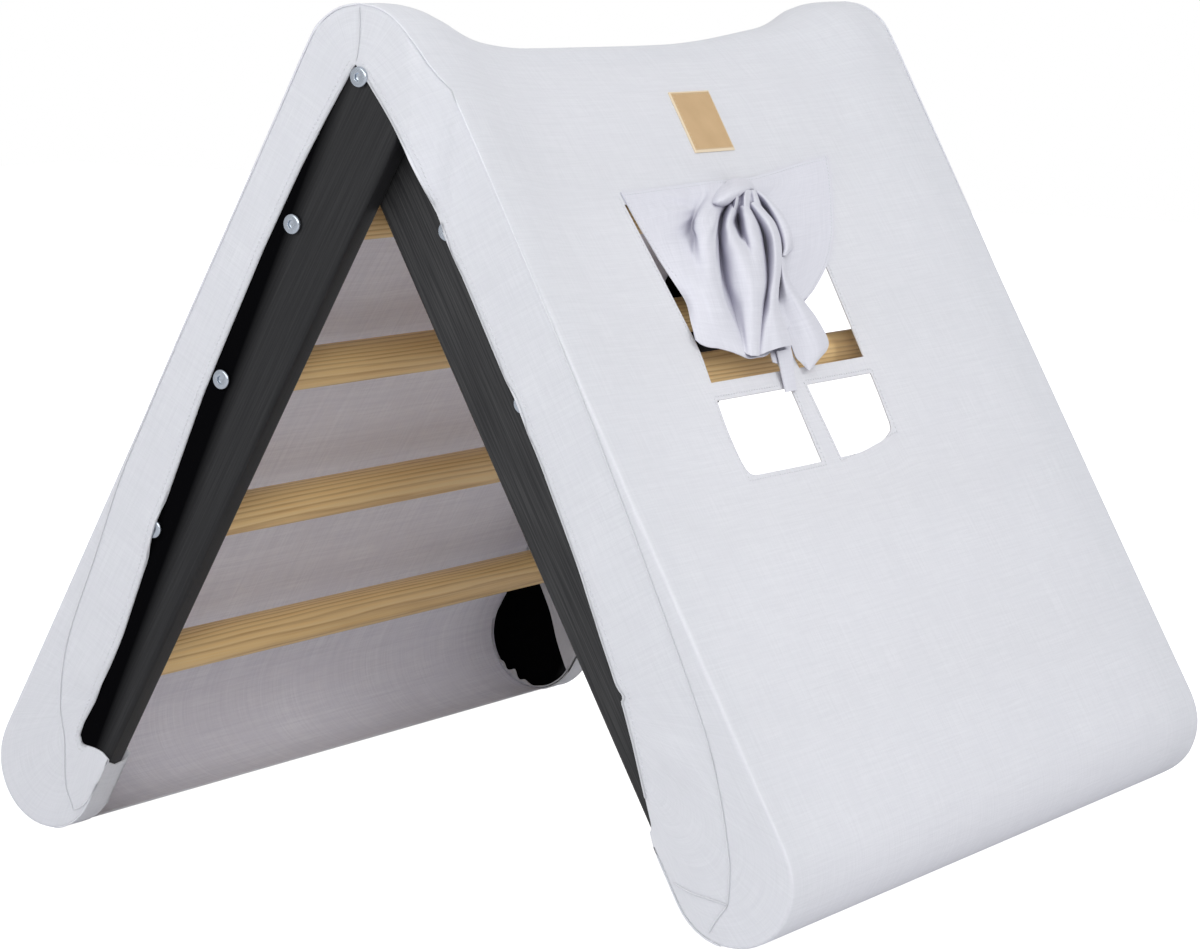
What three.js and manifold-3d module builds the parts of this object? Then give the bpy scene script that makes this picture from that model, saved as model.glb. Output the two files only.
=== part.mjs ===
// A folding climbing frame under a fitted cloth cover.
// Two ladder frames of painted boards and round wooden rungs hinge about a ridge rung.
// The outer frame slopes down to the left, the inner frame nests between its boards and
// slopes down to the right. The cover has a window with a tied-up curtain on the right.
//
// Millimetres, +Z up, the ground at Z = 0, the ridge along Y. The near end is at -Y.
// Every piece of a frame is drawn on an upright leg: x points out of the roof, z = 0 is
// the pivot and the leg runs down -z. The frame's group then leans it to its side.

import * as THREE from 'three';
import { mergeVertices } from 'three/addons/utils/BufferGeometryUtils.js';
import Module from 'manifold-3d';

const wasm = await Module();
wasm.setup();

const { sin, cos, tan, asin, atan2, hypot, abs, PI } = Math;
const degree = PI / 180;
const NEAR = -1;
const FAR = 1;

// The frames.
const legReach = 580;          // pivot to the centre of the rounded foot
const halfAngle = 29.5 * degree;
const frameDepth = 637.5;      // outside face to outside face of the outer boards
const boardWidth = 90;
const boardThickness = 20;
const boardEdgeRound = 4;
const pivotGap = 2;            // between an outer and an inner board, filled by a washer
const rungDiameter = 30;
const rungCount = 4;
const firstRung = 115;         // pivot to the first rung's axis
const lastRungUp = 85.5;       // the last rung's axis, above the centre of the foot

// The screws.
const headDiameter = 14;
const headHeight = 3.2;
const socketWidth = 5;
const socketDepth = 1.8;
const rungScrewDiameter = 6;
const rungScrewBite = 32;      // thread inside the end of a rung
const pivotScrewDiameter = 8;
const pivotScrewBite = 38;
const holeClearance = 0.4;     // on the radius
const washerDiameter = 24;

// The cover.
const clothThickness = 1.2;
const edgeStandOff = 2.3;      // slack of the cloth off the boards' outer edges
const nearFlatHalf = 160;      // the ridge is flat this far towards the near end
const farFlatHalf = 80;
const ridgeRiseOverlap = 9;    // the ridge climbs until it lies this far on the boards
const sagFade = 1.6;           // how fast the sag fades down the panel, a power
const sleeveTopUp = 42;        // the sleeve's strip ends this far above the foot's centre
const domeSpread = 2.2;        // how far the cloth slopes off a screw head, in head heights
const seamGap = 0.3;
const seatGap = 0.3;
const layGap = 0.75;           // under the curtain, over the panel's flat steps

// The window in the right panel, measured down from the pivot.
const windowTop = 118;
const windowBottom = 333;
const windowWidth = 209;
const windowShift = -16.5;     // of its middle towards the near end
const windowLean = 9 * degree;
const crossBarPlace = 267.5;
const crossBarWidth = 13;
const uprightBarWidth = 22.5;
const windowCorner = 14;
const paneCorner = 2;

// The curtain, its tie and the blank patch.
const curtainTop = 104;
const curtainShift = 22;
const curtainWidth = 287;
const curtainDrop = 150;
const curtainThickness = 2.4;
const curtainFoldHeight = 11;
const tieFoldHeight = 9;
const patchPlace = 56;
const patchShift = 31.5;
const patchWidth = 54;
const patchHeight = 51.5;
const patchLean = 7.5 * degree;
const patchThickness = 1.1;

// Sizes that follow from those.
const boardHalf = boardWidth / 2;
const rungRadius = rungDiameter / 2;
const headRadius = headDiameter / 2;
const outerFace = frameDepth / 2;
const outerInside = outerFace - boardThickness;
const innerFace = outerInside - pivotGap;
const innerInside = innerFace - boardThickness;
const footRadius = boardHalf + seatGap + clothThickness;
const crestRadius = boardHalf + edgeStandOff + clothThickness;
const ridgeRadius = rungRadius + seatGap + clothThickness;
const foldedAngle = asin((boardHalf + rungRadius + pivotGap) / firstRung);
const frameStep = boardThickness + pivotGap;
const clothReach = seatGap + clothThickness;
const coverEnd = outerFace + clothReach;
const apexAngle = PI / 2 - halfAngle;

// The cloth round a foot is drawn in flat steps, and one of them lies on the ground.
const footSteps = 7;
const hookSteps = 3;           // from the panel's end up to the board's inner edge
const footStepTurn = (PI / 2 + halfAngle) / (footSteps - 0.5);
const footWrap = footSteps * footStepTurn;
const pivotHeight = legReach * cos(halfAngle) + footRadius * cos(footStepTurn / 2);
const rungPitch = (legReach - firstRung - lastRungUp) / (rungCount - 1);
const rungPlaces = Array.from({ length: rungCount }, (_, i) => firstRung + i * rungPitch);

// Solids are joined and cut here, and turned back into meshes.

function toSolid(geometry) {
  const bare = geometry.clone();
  bare.deleteAttribute('normal');
  bare.deleteAttribute('uv');
  const merged = mergeVertices(bare, seatGap / 3000);
  return new wasm.Manifold(new wasm.Mesh({
    numProp: 3,
    vertProperties: Float32Array.from(merged.attributes.position.array),
    triVerts: Uint32Array.from(merged.index.array),
  }));
}

function toGeometry(solid) {
  const mesh = solid.getMesh();
  const geometry = new THREE.BufferGeometry();
  geometry.setAttribute('position', new THREE.BufferAttribute(mesh.vertProperties, 3));
  geometry.setIndex(new THREE.BufferAttribute(mesh.triVerts, 1));
  return geometry;
}

function cut(solid, ...tools) {
  return tools.reduce((left, tool) => left.subtract(tool), solid);
}

// A mirrored copy, with its triangles turned so that they still face out.
function mirrored(geometry, x, y) {
  const copy = geometry.index ? geometry.toNonIndexed() : geometry.clone();
  copy.scale(x, y, 1);
  if (x * y < 0) {
    const p = copy.attributes.position;
    for (let i = 0; i < p.count; i += 3) {
      const a = [p.getX(i), p.getY(i), p.getZ(i)];
      p.setXYZ(i, p.getX(i + 1), p.getY(i + 1), p.getZ(i + 1));
      p.setXYZ(i + 1, ...a);
    }
  }
  copy.deleteAttribute('normal');
  copy.deleteAttribute('uv');
  return mergeVertices(copy, seatGap / 3000);
}

// An outline in the leg's own plane, [out, down] pairs, given a thickness along Y.
function plate(outline, yLow, yHigh, holes = []) {
  const shape = new THREE.Shape(outline.map(([out, down]) => new THREE.Vector2(out, -down)));
  shape.holes = holes;
  const geometry = new THREE.ExtrudeGeometry(shape, {
    depth: yHigh - yLow, bevelEnabled: false, steps: 1,
  });
  geometry.rotateX(PI / 2);
  geometry.translate(0, yHigh, 0);
  return geometry;
}

function cylinderAlongY(radius, yLow, yHigh, sides, out = 0, down = 0) {
  const geometry = new THREE.CylinderGeometry(radius, radius, yHigh - yLow, sides);
  geometry.translate(out, (yLow + yHigh) / 2, -down);
  return geometry;
}

function arc(out, down, radius, from, to, steps) {
  return Array.from({ length: steps + 1 }, (_, i) => {
    const turn = from + (to - from) * i / steps;
    return [out + radius * cos(turn), down + radius * sin(turn)];
  });
}

// Round the foot from its outer edge to its inner one, in the steps of the cloth on it.
function footArc(radius) {
  return [
    ...arc(0, legReach, radius, 0, footWrap, footSteps),
    ...arc(0, legReach, radius, footWrap, PI, hookSteps).slice(1),
  ];
}

// A sheet between two layers of points, closed round its border.
function slab(rows, columns, top, bottom) {
  const points = [];
  for (const layer of [top, bottom]) {
    for (let i = 0; i <= rows; i += 1) {
      for (let j = 0; j <= columns; j += 1) points.push(...layer(i, j));
    }
  }
  const wide = columns + 1;
  const under = (rows + 1) * wide;
  const faces = [];
  const quad = (a, b, c, d) => faces.push(a, b, c, a, c, d);
  for (let i = 0; i < rows; i += 1) {
    for (let j = 0; j < columns; j += 1) {
      const k = i * wide + j;
      quad(k, k + 1, k + wide + 1, k + wide);
      quad(under + k, under + k + wide, under + k + wide + 1, under + k + 1);
    }
    const left = i * wide;
    const right = left + columns;
    quad(left, left + wide, under + left + wide, under + left);
    quad(right, under + right, under + right + wide, right + wide);
  }
  for (let j = 0; j < columns; j += 1) {
    const last = rows * wide + j;
    quad(j, under + j, under + j + 1, j + 1);
    quad(last, last + 1, under + last + 1, under + last);
  }
  const geometry = new THREE.BufferGeometry();
  geometry.setAttribute('position', new THREE.Float32BufferAttribute(points, 3));
  geometry.setIndex(faces);
  return facingOut(geometry);
}

// Turns a closed mesh round if its volume comes out negative.
function facingOut(geometry) {
  const p = geometry.attributes.position;
  const index = geometry.index.array;
  const [a, b, c] = [new THREE.Vector3(), new THREE.Vector3(), new THREE.Vector3()];
  let volume = 0;
  for (let i = 0; i < index.length; i += 3) {
    a.fromBufferAttribute(p, index[i]);
    b.fromBufferAttribute(p, index[i + 1]);
    c.fromBufferAttribute(p, index[i + 2]);
    volume += a.dot(b.cross(c));
  }
  if (volume < 0) {
    const turned = Array.from(index);
    for (let i = 0; i < turned.length; i += 3) {
      [turned[i], turned[i + 1]] = [turned[i + 1], turned[i]];
    }
    geometry.setIndex(turned);
  }
  return geometry;
}

// Boards, rungs, screws and washers.

function board(y0, y1, pivotRadius, screwRadius) {
  const inset = boardEdgeRound;
  const outline = [
    ...arc(0, 0, boardHalf - inset, PI, 2 * PI, footSteps + hookSteps),
    ...footArc(boardHalf - inset),
  ];
  const shape = new THREE.Shape(outline.map(([out, down]) => new THREE.Vector2(out, -down)));
  const geometry = new THREE.ExtrudeGeometry(shape, {
    depth: y1 - y0 - 2 * inset, steps: 1, bevelEnabled: true, bevelSegments: 1,
    bevelSize: inset, bevelThickness: inset,
  });
  geometry.rotateX(PI / 2);
  geometry.translate(0, y1 - inset, 0);
  const sides = 10;
  const drills = [[0, pivotRadius], ...rungPlaces.map((place) => [place, screwRadius])];
  const holes = drills.map(([down, radius]) => toSolid(
    cylinderAlongY(radius + holeClearance, y0 - inset, y1 + inset, sides, 0, down),
  ));
  return toGeometry(cut(toSolid(geometry), ...holes));
}

function rung(halfLength, down, screwRadius, bite) {
  const sides = 18;
  const boreSides = 10;
  const body = toSolid(cylinderAlongY(rungRadius, -halfLength, halfLength, sides, 0, down));
  const radius = screwRadius + holeClearance;
  const bores = [NEAR, FAR].map((end) => {
    const inner = end * (halfLength - bite - seatGap);
    const outer = end * (halfLength + bite);
    const low = Math.min(inner, outer);
    const high = Math.max(inner, outer);
    return toSolid(cylinderAlongY(radius, low, high, boreSides, 0, down));
  });
  return toGeometry(cut(body, ...bores));
}

// A pan-head screw whose head rests on the near face of a board at y = -face.
function screw(face, down, radius, tip) {
  const sides = 12;
  const seat = -face - seatGap;
  const crown = seat - headHeight;
  const rim = headHeight / 3;
  const profile = [
    [0, crown], [headRadius * 0.62, crown], [headRadius, crown + 2 * rim], [headRadius, seat],
    [radius, seat], [radius, tip], [0, tip],
  ].map(([r, y]) => new THREE.Vector2(r, y));
  const body = new THREE.LatheGeometry(profile, sides);
  const across = socketWidth / 2 / cos(PI / 6);
  const socket = cylinderAlongY(across, crown - headHeight, crown + socketDepth, 6);
  const solid = cut(toSolid(facingOut(mergeVertices(bareOf(body), seatGap / 3000))), toSolid(socket));
  const geometry = toGeometry(solid);
  geometry.translate(0, 0, -down);
  return geometry;
}

function bareOf(geometry) {
  const bare = geometry.clone();
  bare.deleteAttribute('normal');
  bare.deleteAttribute('uv');
  return bare;
}

function washer() {
  const hole = pivotScrewDiameter / 2 + holeClearance;
  const rim = washerDiameter / 2;
  const low = -outerInside + seatGap;
  const high = -innerFace - seatGap;
  const profile = [[hole, low], [rim, low], [rim, high], [hole, high], [hole, low]];
  const body = new THREE.LatheGeometry(profile.map(([r, y]) => new THREE.Vector2(r, y)), 16);
  return facingOut(mergeVertices(bareOf(body), seatGap / 3000));
}

// The cover's panels. Down the panel the stations are the arc over the crest, the slope
// and the arc round the feet. Across, they crowd where the ridge climbs to the boards.

const crestSteps = 6;
const slopeShares = [0.04, 0.09, 0.15, 0.22, 0.3, 0.4, 0.52, 0.66, 0.82, 1];
const acrossShares = [0, 0.17, 0.33, 0.46, 0.56, 0.65, 0.74, 0.83, 0.92, 1];
const panelRows = crestSteps + slopeShares.length + footSteps;
const panelColumns = 2 * acrossShares.length;

function eased(t) {
  const share = Math.min(Math.max(t, 0), 1);
  return share * share * (3 - 2 * share);
}

// Radius of the cloth's outer face over the ridge, from the rung up to the boards.
function crestAt(y) {
  const flat = y < 0 ? nearFlatHalf : farFlatHalf;
  const rise = eased((abs(y) - flat) / (innerInside + ridgeRiseOverlap - flat));
  return ridgeRadius + (crestRadius - ridgeRadius) * rise;
}

// How far the cloth's outer face stands out of the leg's middle line.
function standAt(down, y) {
  const crest = crestAt(y);
  const fade = 1 - (1 - Math.min(Math.max(down / legReach, 0), 1)) ** sagFade;
  return crest + (footRadius - crest) * fade;
}

function acrossAt(i, j, end) {
  const middle = panelColumns / 2;
  const k = abs(j - middle);
  const side = Math.sign(j - middle);
  const reach = k === acrossShares.length ? end(i, side) : innerInside * acrossShares[k];
  return side * reach;
}

// A point of a panel: i down from the crest, j across, depth into the cloth.
function panelPoint(i, j, end, depth) {
  const y = acrossAt(i, j, end);
  if (i <= crestSteps) {
    const radius = crestAt(y) - depth;
    const top = apexAngle - asin(seamGap / 2 / radius);
    const turn = top * (1 - i / crestSteps);
    return [radius * cos(turn), y, radius * sin(turn)];
  }
  const slope = i - crestSteps - 1;
  if (slope < slopeShares.length) {
    const down = legReach * slopeShares[slope];
    return [standAt(down, y) - depth, y, -down];
  }
  const turn = footWrap * (slope - slopeShares.length + 1) / footSteps;
  const radius = footRadius - depth;
  return [radius * cos(turn), y, -legReach - radius * sin(turn)];
}

function panel(end) {
  return slab(panelRows, panelColumns,
    (i, j) => panelPoint(i, j, end, 0),
    (i, j) => panelPoint(i, j, end, clothThickness));
}

// At the near end, where the cover is drawn tight, the right panel steps in with the inner
// frame once it is past the outer boards' ends. At the far end it keeps its full depth.
function rightEnd(i, side) {
  return side === NEAR && i > crestSteps ? coverEnd - frameStep : coverEnd;
}

// A pane of the window: an outline of [y, down] pairs cut right through the cloth.
function pane(left, right, top, bottom, corners) {
  const middle = (windowTop + windowBottom) / 2;
  const lean = (y, down) => [windowShift + y - tan(windowLean) * (down - middle), down];
  const outline = [];
  const quarter = (cy, cd, radius, from) => {
    for (let k = 0; k <= 3; k += 1) {
      const turn = from + k * PI / 6;
      outline.push(lean(cy + radius * cos(turn), cd + radius * sin(turn)));
    }
  };
  const [a, b, c, d] = corners;
  quarter(right - a, bottom - a, a, 0);
  quarter(left + b, bottom - b, b, PI / 2);
  quarter(left + c, top + c, c, PI);
  quarter(right - d, top + d, d, 1.5 * PI);
  const shape = new THREE.Shape(outline.map(([y, down]) => new THREE.Vector2(y, -down)));
  const reach = crestRadius + footRadius;
  const geometry = new THREE.ExtrudeGeometry(shape, { depth: reach, bevelEnabled: false, steps: 1 });
  geometry.applyMatrix4(new THREE.Matrix4().makeBasis(
    new THREE.Vector3(0, 1, 0), new THREE.Vector3(0, 0, 1), new THREE.Vector3(1, 0, 0),
  ));
  return toSolid(geometry);
}

function panes() {
  const half = windowWidth / 2;
  const bar = uprightBarWidth / 2;
  const above = crossBarPlace - crossBarWidth / 2;
  const below = crossBarPlace + crossBarWidth / 2;
  const small = paneCorner;
  return [
    pane(-half, -bar, windowTop, above, [small, small, small, small]),
    pane(bar, half, windowTop, above, [small, small, small, small]),
    pane(-half, -bar, below, windowBottom, [small, windowCorner, small, small]),
    pane(bar, half, below, windowBottom, [windowCorner, small, small, small]),
  ];
}

// The bands that close the cover over the boards' outside faces. Each hem is a list of
// [out, down] pairs, as shares of the board's half width and of the leg's reach.
const leftHemShares = [
  [-1, 0.926], [-0.72, 0.931], [-0.44, 0.936], [-0.29, 0.929], [-0.27, 0.9], [-0.3, 0.855],
  [-0.28, 0.786], [-0.13, 0.674], [0, 0.614], [0.1, 0.536], [0.2, 0.45], [0.24, 0.372],
  [0.3, 0.248], [0.29, 0.134], [0.24, 0.06], [0.2, 0.01], [0.18, -0.004],
];
const rightHemShares = [
  [-1, 0.917], [-0.9, 0.908], [-0.64, 0.817], [-0.51, 0.766], [-0.41, 0.695], [-0.28, 0.619],
  [-0.2, 0.553], [-0.15, 0.45], [-0.12, 0.36], [-0.08, 0.25], [-0.06, 0.19], [0.02, 0.15],
  [0.15, 0.105], [0.2, 0.07], [0.19, 0.03], [0.18, -0.004],
];
const hemCrown = 1.2 * headRadius;   // the hem passes the pivot screw this far above it

function bandOutline(hemShares) {
  const inward = clothThickness + seamGap;
  const crest = crestRadius - inward;
  const mitre = seamGap / 2;
  const topTurn = apexAngle - asin(mitre / crest);
  const slope = slopeShares.slice(0, -1).map((share) => {
    const down = legReach * share;
    return [standAt(down, coverEnd) - inward, down];
  });
  const hem = hemShares.map(([out, down]) => [out * boardHalf, down * legReach]);
  const corner = [hemCrown * cos(apexAngle) + mitre, -hemCrown * sin(apexAngle)];
  return [
    ...arc(0, 0, crest, -topTurn, 0, 6),
    ...slope,
    ...footArc(boardHalf),
    ...hem,
    corner,
  ];
}

// Where the cloth lies over a screw head it lifts in a low dome.
function dome(face, down) {
  const rise = seatGap + headHeight + seatGap;
  const inner = headRadius + 2 * seatGap;
  const foot = inner + domeSpread * rise;
  const ring = foot + clothThickness;
  const low = -face - seatGap;
  const profile = [
    [0, low - rise], [inner, low - rise], [foot, low], [ring, low],
    [ring, low - clothThickness], [foot + clothThickness / 2, low - clothThickness],
    [inner + clothThickness / 2, low - rise - clothThickness], [0, low - rise - clothThickness],
  ].map(([r, y]) => new THREE.Vector2(r, y));
  const body = new THREE.LatheGeometry(profile, 12);
  const geometry = facingOut(mergeVertices(bareOf(body), seatGap / 3000));
  geometry.translate(0, 0, -down);
  return toSolid(geometry);
}

function domedPlate(outline, face, places) {
  const low = -face - clothReach;
  const high = -face - seatGap;
  const slope = domeSpread * (2 * seatGap + headHeight);
  const holeRadius = headRadius + 2 * seatGap + slope + clothThickness / 2;
  let sheet = toSolid(plate(outline, low, high));
  for (const place of places) {
    const hole = toSolid(cylinderAlongY(holeRadius, low - headHeight, high + headHeight, 12, 0, place));
    sheet = sheet.subtract(hole);
  }
  let domes = null;
  for (const place of places) {
    const bump = dome(face, place);
    domes = domes ? domes.add(bump) : bump;
  }
  if (!domes) return sheet;
  const reach = toSolid(plate(outline, low - 2 * headHeight, high + headHeight));
  return sheet.add(domes.intersect(reach));
}

function coveredScrews(hemShares) {
  const hem = hemShares.map(([out, down]) => [out * boardHalf, down * legReach]);
  return rungPlaces.filter((place) => {
    const next = hem.findIndex(([, down]) => down < place);
    return hem[next][0] < headRadius;
  });
}

function leftBand() {
  return domedPlate(bandOutline(leftHemShares), outerFace, coveredScrews(leftHemShares));
}

// The far band of the right side stands free of its board, in line with the outer boards.
function rightFarBand() {
  return domedPlate(bandOutline(rightHemShares), outerFace, []);
}

// The near one lies on the outer boards' ends at the crest and on the inner board below,
// with a step between the two just outside the place that the outer board folds into.
function rightNearBand() {
  const outline = bandOutline(rightHemShares);
  const start = boardHalf + pivotGap / 2;
  const far = legReach + 2 * boardWidth;
  const along = (distance, reach) => [
    distance * cos(foldedAngle) - reach * sin(foldedAngle),
    distance * sin(foldedAngle) + reach * cos(foldedAngle),
  ];
  const strip = (from, to) => [along(from, -far), along(to, -far), along(to, far), along(from, far)];
  const deep = -innerFace + boardThickness;
  const over = toSolid(plate(strip(-far, start + clothThickness), -outerFace - far, deep));
  const past = toSolid(plate(strip(start, far), -outerFace - far, deep));
  const between = toSolid(plate(strip(start, start + clothThickness), -coverEnd, -innerFace - seatGap));
  const upper = toSolid(plate(outline, -coverEnd, -outerFace - seatGap)).intersect(over);
  const lower = domedPlate(outline, innerFace, coveredScrews(rightHemShares)).intersect(past);
  const wall = between.intersect(toSolid(plate(outline, -coverEnd - far, deep)));
  return upper.add(lower).add(wall);
}

// The sleeve that hooks under a foot: a strip up the board's inner edge and a flap over
// its inside face, with a slanting hem. The flap's [out, up] pairs are in board half
// widths, from the centre of the foot.
const flapShares = [
  [-1, -0.13], [-0.9, -0.06], [-0.13, 0.63], [0.38, 1], [0.78, 1.29], [0.96, 1.55],
  [0.96, 2.06], [0.5, 1.61], [0.35, 1.47], [-0.35, 1.47], [-0.5, 1.61], [-1, 1.74],
];

function sleeve(face, bandFace) {
  const low = -bandFace - clothReach;
  const high = -face + boardThickness + clothReach;
  const inner = boardHalf + seatGap;
  const outer = inner + clothThickness;
  const start = footWrap + asin(seamGap / inner);
  const strip = [
    ...arc(0, legReach, outer, start, PI, hookSteps),
    [-outer, legReach - sleeveTopUp], [-inner, legReach - sleeveTopUp],
    ...arc(0, legReach, inner, PI, start, hookSteps),
  ];
  const rise = legReach - flapShares[flapShares.length - 1][1] * boardHalf;
  const edge = [[-outer, legReach], [-outer, rise], [-inner, rise], [-inner, legReach]];
  const inside = -face + boardThickness + seatGap;
  const flap = flapShares.map(([out, up]) => [
    out === -1 ? -outer : out * boardHalf, legReach - up * boardHalf,
  ]);
  return toSolid(plate(strip, low, high))
    .add(toSolid(plate(edge, inside, high)))
    .add(toSolid(plate(flap, inside, high)));
}

// Cloth that lies on the right panel: the space between a left and a right border, given
// as [y, down] pairs, with its own height over the panel at each point.
function draped(leftBorder, rightBorder, rows, columns, height, floor, hang = () => 0) {
  const curve = (border) => new THREE.CatmullRomCurve3(
    border.map(([y, down]) => new THREE.Vector3(y, down, 0)), false, 'centripetal',
  );
  const left = curve(leftBorder);
  const right = curve(rightBorder);
  const place = (i, j) => {
    const u = i / rows;
    const v = j / columns;
    const p = left.getPoint(u).lerp(right.getPoint(u), v);
    return [p.x, p.y + u * hang(v), u, v];
  };
  const layer = (level) => (i, j) => {
    const [y, down, u, v] = place(i, j);
    return [standAt(down, y) + level(y, down, u, v), y, -down];
  };
  return toSolid(slab(rows, columns, layer(height), layer(() => floor)));
}

function curtainPlaces(shares) {
  return shares.map(([y, down]) => [
    curtainShift + y * curtainWidth, curtainTop + down * curtainDrop,
  ]);
}

const curtainLeftShares = [
  [-0.498, 0.04], [-0.512, 0.347], [-0.477, 0.58], [-0.484, 0.7], [-0.5, 0.86],
];
const curtainRightShares = [
  [0.502, -0.053], [0.45, 0.14], [0.36, 0.353], [0.24, 0.54], [0.035, 0.72],
];
const knotShares = [-0.155, 0.155];
const hangShare = 0.16;

// Folds spread down from the knot, as ridges and hollows round it.
function curtainHeight(y, down) {
  const [knotY, knotDown] = curtainPlaces([knotShares])[0];
  const turn = atan2(y - knotY, down - knotDown);
  const away = hypot(y - knotY, down - knotDown);
  const lower = eased((down - curtainTop) / (curtainDrop * 0.3));
  const near = eased(away / (curtainWidth * 0.12)) * (1 - 0.5 * eased(away / curtainWidth));
  const ridges = 0.5 + 0.5 * cos(turn * 5.5 + 0.6);
  const centred = eased((1.35 - abs(turn + 0.15)) / 0.6);
  return curtainThickness + curtainFoldHeight * lower * near * centred * (0.35 + 0.65 * ridges);
}

function curtain() {
  return draped(
    curtainPlaces(curtainLeftShares), curtainPlaces(curtainRightShares), 12, 28,
    curtainHeight, layGap, (v) => hangShare * curtainDrop * sin(PI * v),
  );
}

// The tie's loops and tails, each with one long crease down its middle.
const tiePieces = {
  curtain_tie_loop_left: {
    left: [[-0.2, 0.17], [-0.23, 0.26], [-0.305, 0.43], [-0.37, 0.63], [-0.365, 0.84]],
    right: [[-0.14, 0.17], [-0.12, 0.27], [-0.125, 0.45], [-0.18, 0.62], [-0.33, 0.86]],
    liftShare: 1.5,
  },
  curtain_tie_loop_right: {
    left: [[-0.1, 0.16], [-0.03, 0.25], [0.02, 0.38], [0.06, 0.49]],
    right: [[-0.03, 0.14], [0.03, 0.22], [0.05, 0.4], [0.075, 0.5]],
    liftShare: 1.1,
  },
  curtain_tie_tail_centre: {
    left: [[-0.12, 0.22], [-0.1, 0.5], [-0.18, 0.66], [-0.235, 0.82], [-0.355, 0.965]],
    right: [[-0.08, 0.22], [-0.055, 0.5], [-0.13, 0.68], [-0.15, 0.84], [-0.185, 0.97]],
    liftShare: 1.7,
  },
  curtain_tie_tail_right: {
    left: [[-0.02, 0.5], [-0.06, 0.62], [-0.12, 0.76], [-0.165, 1.02]],
    right: [[0.01, 0.5], [-0.035, 0.64], [0, 0.8], [0.0, 0.98]],
    liftShare: 0.9,
  },
  curtain_tie_ribbon: {
    left: [[-0.235, 0.99], [-0.25, 1.06], [-0.268, 1.167]],
    right: [[-0.2, 0.99], [-0.212, 1.06], [-0.229, 1.165]],
    liftShare: 0.2,
  },
};

function tiePiece({ left, right, liftShare }) {
  const rows = 8;
  const columns = 6;
  const height = (y, down, u, v) => {
    const rounded = sin(PI * v) ** 0.6;
    const crease = 1 - 0.45 * sin(PI * v) ** 12;
    const ends = 0.35 + 0.65 * sin(PI * Math.min(u + 0.15, 1));
    const rise = liftShare * tieFoldHeight;
    return curtainHeight(y, down) + rise * (0.6 + 0.4 * rounded * crease * ends);
  };
  return draped(curtainPlaces(left), curtainPlaces(right), rows, columns, height, 0);
}

function knot(clearance) {
  const [y, down] = curtainPlaces([knotShares])[0];
  const reach = 0.1 * curtainWidth + clearance;
  const ball = new THREE.SphereGeometry(reach, 14, 9);
  ball.scale(0.62, 1, 0.52);
  ball.translate(standAt(down, y) + 0.3 * reach, y, -down);
  return toSolid(facingOut(mergeVertices(bareOf(ball), seatGap / 3000)));
}

function patch() {
  const half = [patchWidth / 2, patchHeight / 2];
  const corner = (side, end) => {
    const down = patchPlace + end * half[1];
    return [patchShift + side * half[0] - tan(patchLean) * end * half[1], down];
  };
  return draped([corner(-1, -1), corner(-1, 1)], [corner(1, -1), corner(1, 1)], 3, 4,
    () => seatGap + patchThickness, seatGap);
}

// Cuts from a piece all that lies under it, and a little more above and below its hem, so
// that it rests on it. What is left below the cloth it rests on is dropped.
function resting(piece, ...under) {
  const clear = seatGap + clothThickness / 10;
  const grown = under.flatMap((lower) => [
    lower, lower.translate([clear, 0, 0]), lower.translate([0, 0, -clear]),
  ]);
  const parts = cut(piece, ...grown).decompose();
  const whole = parts.reduce((best, part) => (part.volume() > best.volume() ? part : best));
  return whole.simplify(seatGap / 3);
}

// The finishes.
function finish(color, roughness, metalness = 0) {
  return () => new THREE.MeshStandardMaterial({ color, roughness, metalness });
}
const blackPaint = finish(0x2b2b2b, 0.45);
const pine = finish(0xcfa878, 0.55);
const zinc = finish(0xc9ccd2, 0.25, 1);
const cloth = finish(0xdadce2, 0.95);
const leather = finish(0xcba874, 0.6);

const climbingFrame = new THREE.Group();

function leaning(side) {
  const group = new THREE.Group();
  group.position.z = pivotHeight;
  group.rotation.y = -side * halfAngle;
  climbingFrame.add(group);
  return group;
}
const leftFrame = leaning(-1);
const rightFrame = leaning(1);

// Adds one piece, drawn for the near end and the right side, mirrored to its place.
function add(group, name, geometry, material, side = 1, end = NEAR) {
  const placed = side === 1 && end === NEAR ? geometry : mirrored(geometry, side, -end);
  placed.computeVertexNormals();
  const mesh = new THREE.Mesh(placed, material());
  mesh.name = name;
  group.add(mesh);
}

const ends = [['near', NEAR], ['far', FAR]];
const frames = [
  {
    word: 'outer', group: leftFrame, side: -1, face: outerFace, inside: outerInside,
    bands: [leftBand, leftBand], bandFaces: [outerFace, outerFace], handed: 'left',
  },
  {
    word: 'inner', group: rightFrame, side: 1, face: innerFace, inside: innerInside,
    bands: [rightNearBand, rightFarBand], bandFaces: [innerFace, outerFace], handed: 'right',
  },
];

for (const { word, group, side, face, inside, bands, bandFaces, handed } of frames) {
  const leg = board(-face, -inside, pivotScrewDiameter / 2, rungScrewDiameter / 2);
  ends.forEach(([endWord, end], i) => {
    const bandShape = toGeometry(bands[i]());
    const sleeveShape = toGeometry(sleeve(face, bandFaces[i]));
    add(group, `${word}_leg_${endWord}`, leg, blackPaint, side, end);
    add(group, `cover_band_${endWord}_${handed}`, bandShape, cloth, side, end);
    add(group, `foot_sleeve_${endWord}_${handed}`, sleeveShape, cloth, side, end);
  });
  rungPlaces.forEach((place, i) => {
    const half = inside - seatGap;
    const bar = rung(half, place, rungScrewDiameter / 2, rungScrewBite);
    add(group, `${word}_rung_${i + 1}`, bar, pine);
    const fixing = screw(face, place, rungScrewDiameter / 2, -half + rungScrewBite);
    for (const [endWord, end] of ends) {
      add(group, `${word}_screw_${endWord}_${i + 1}`, fixing, zinc, side, end);
    }
  });
}

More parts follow.
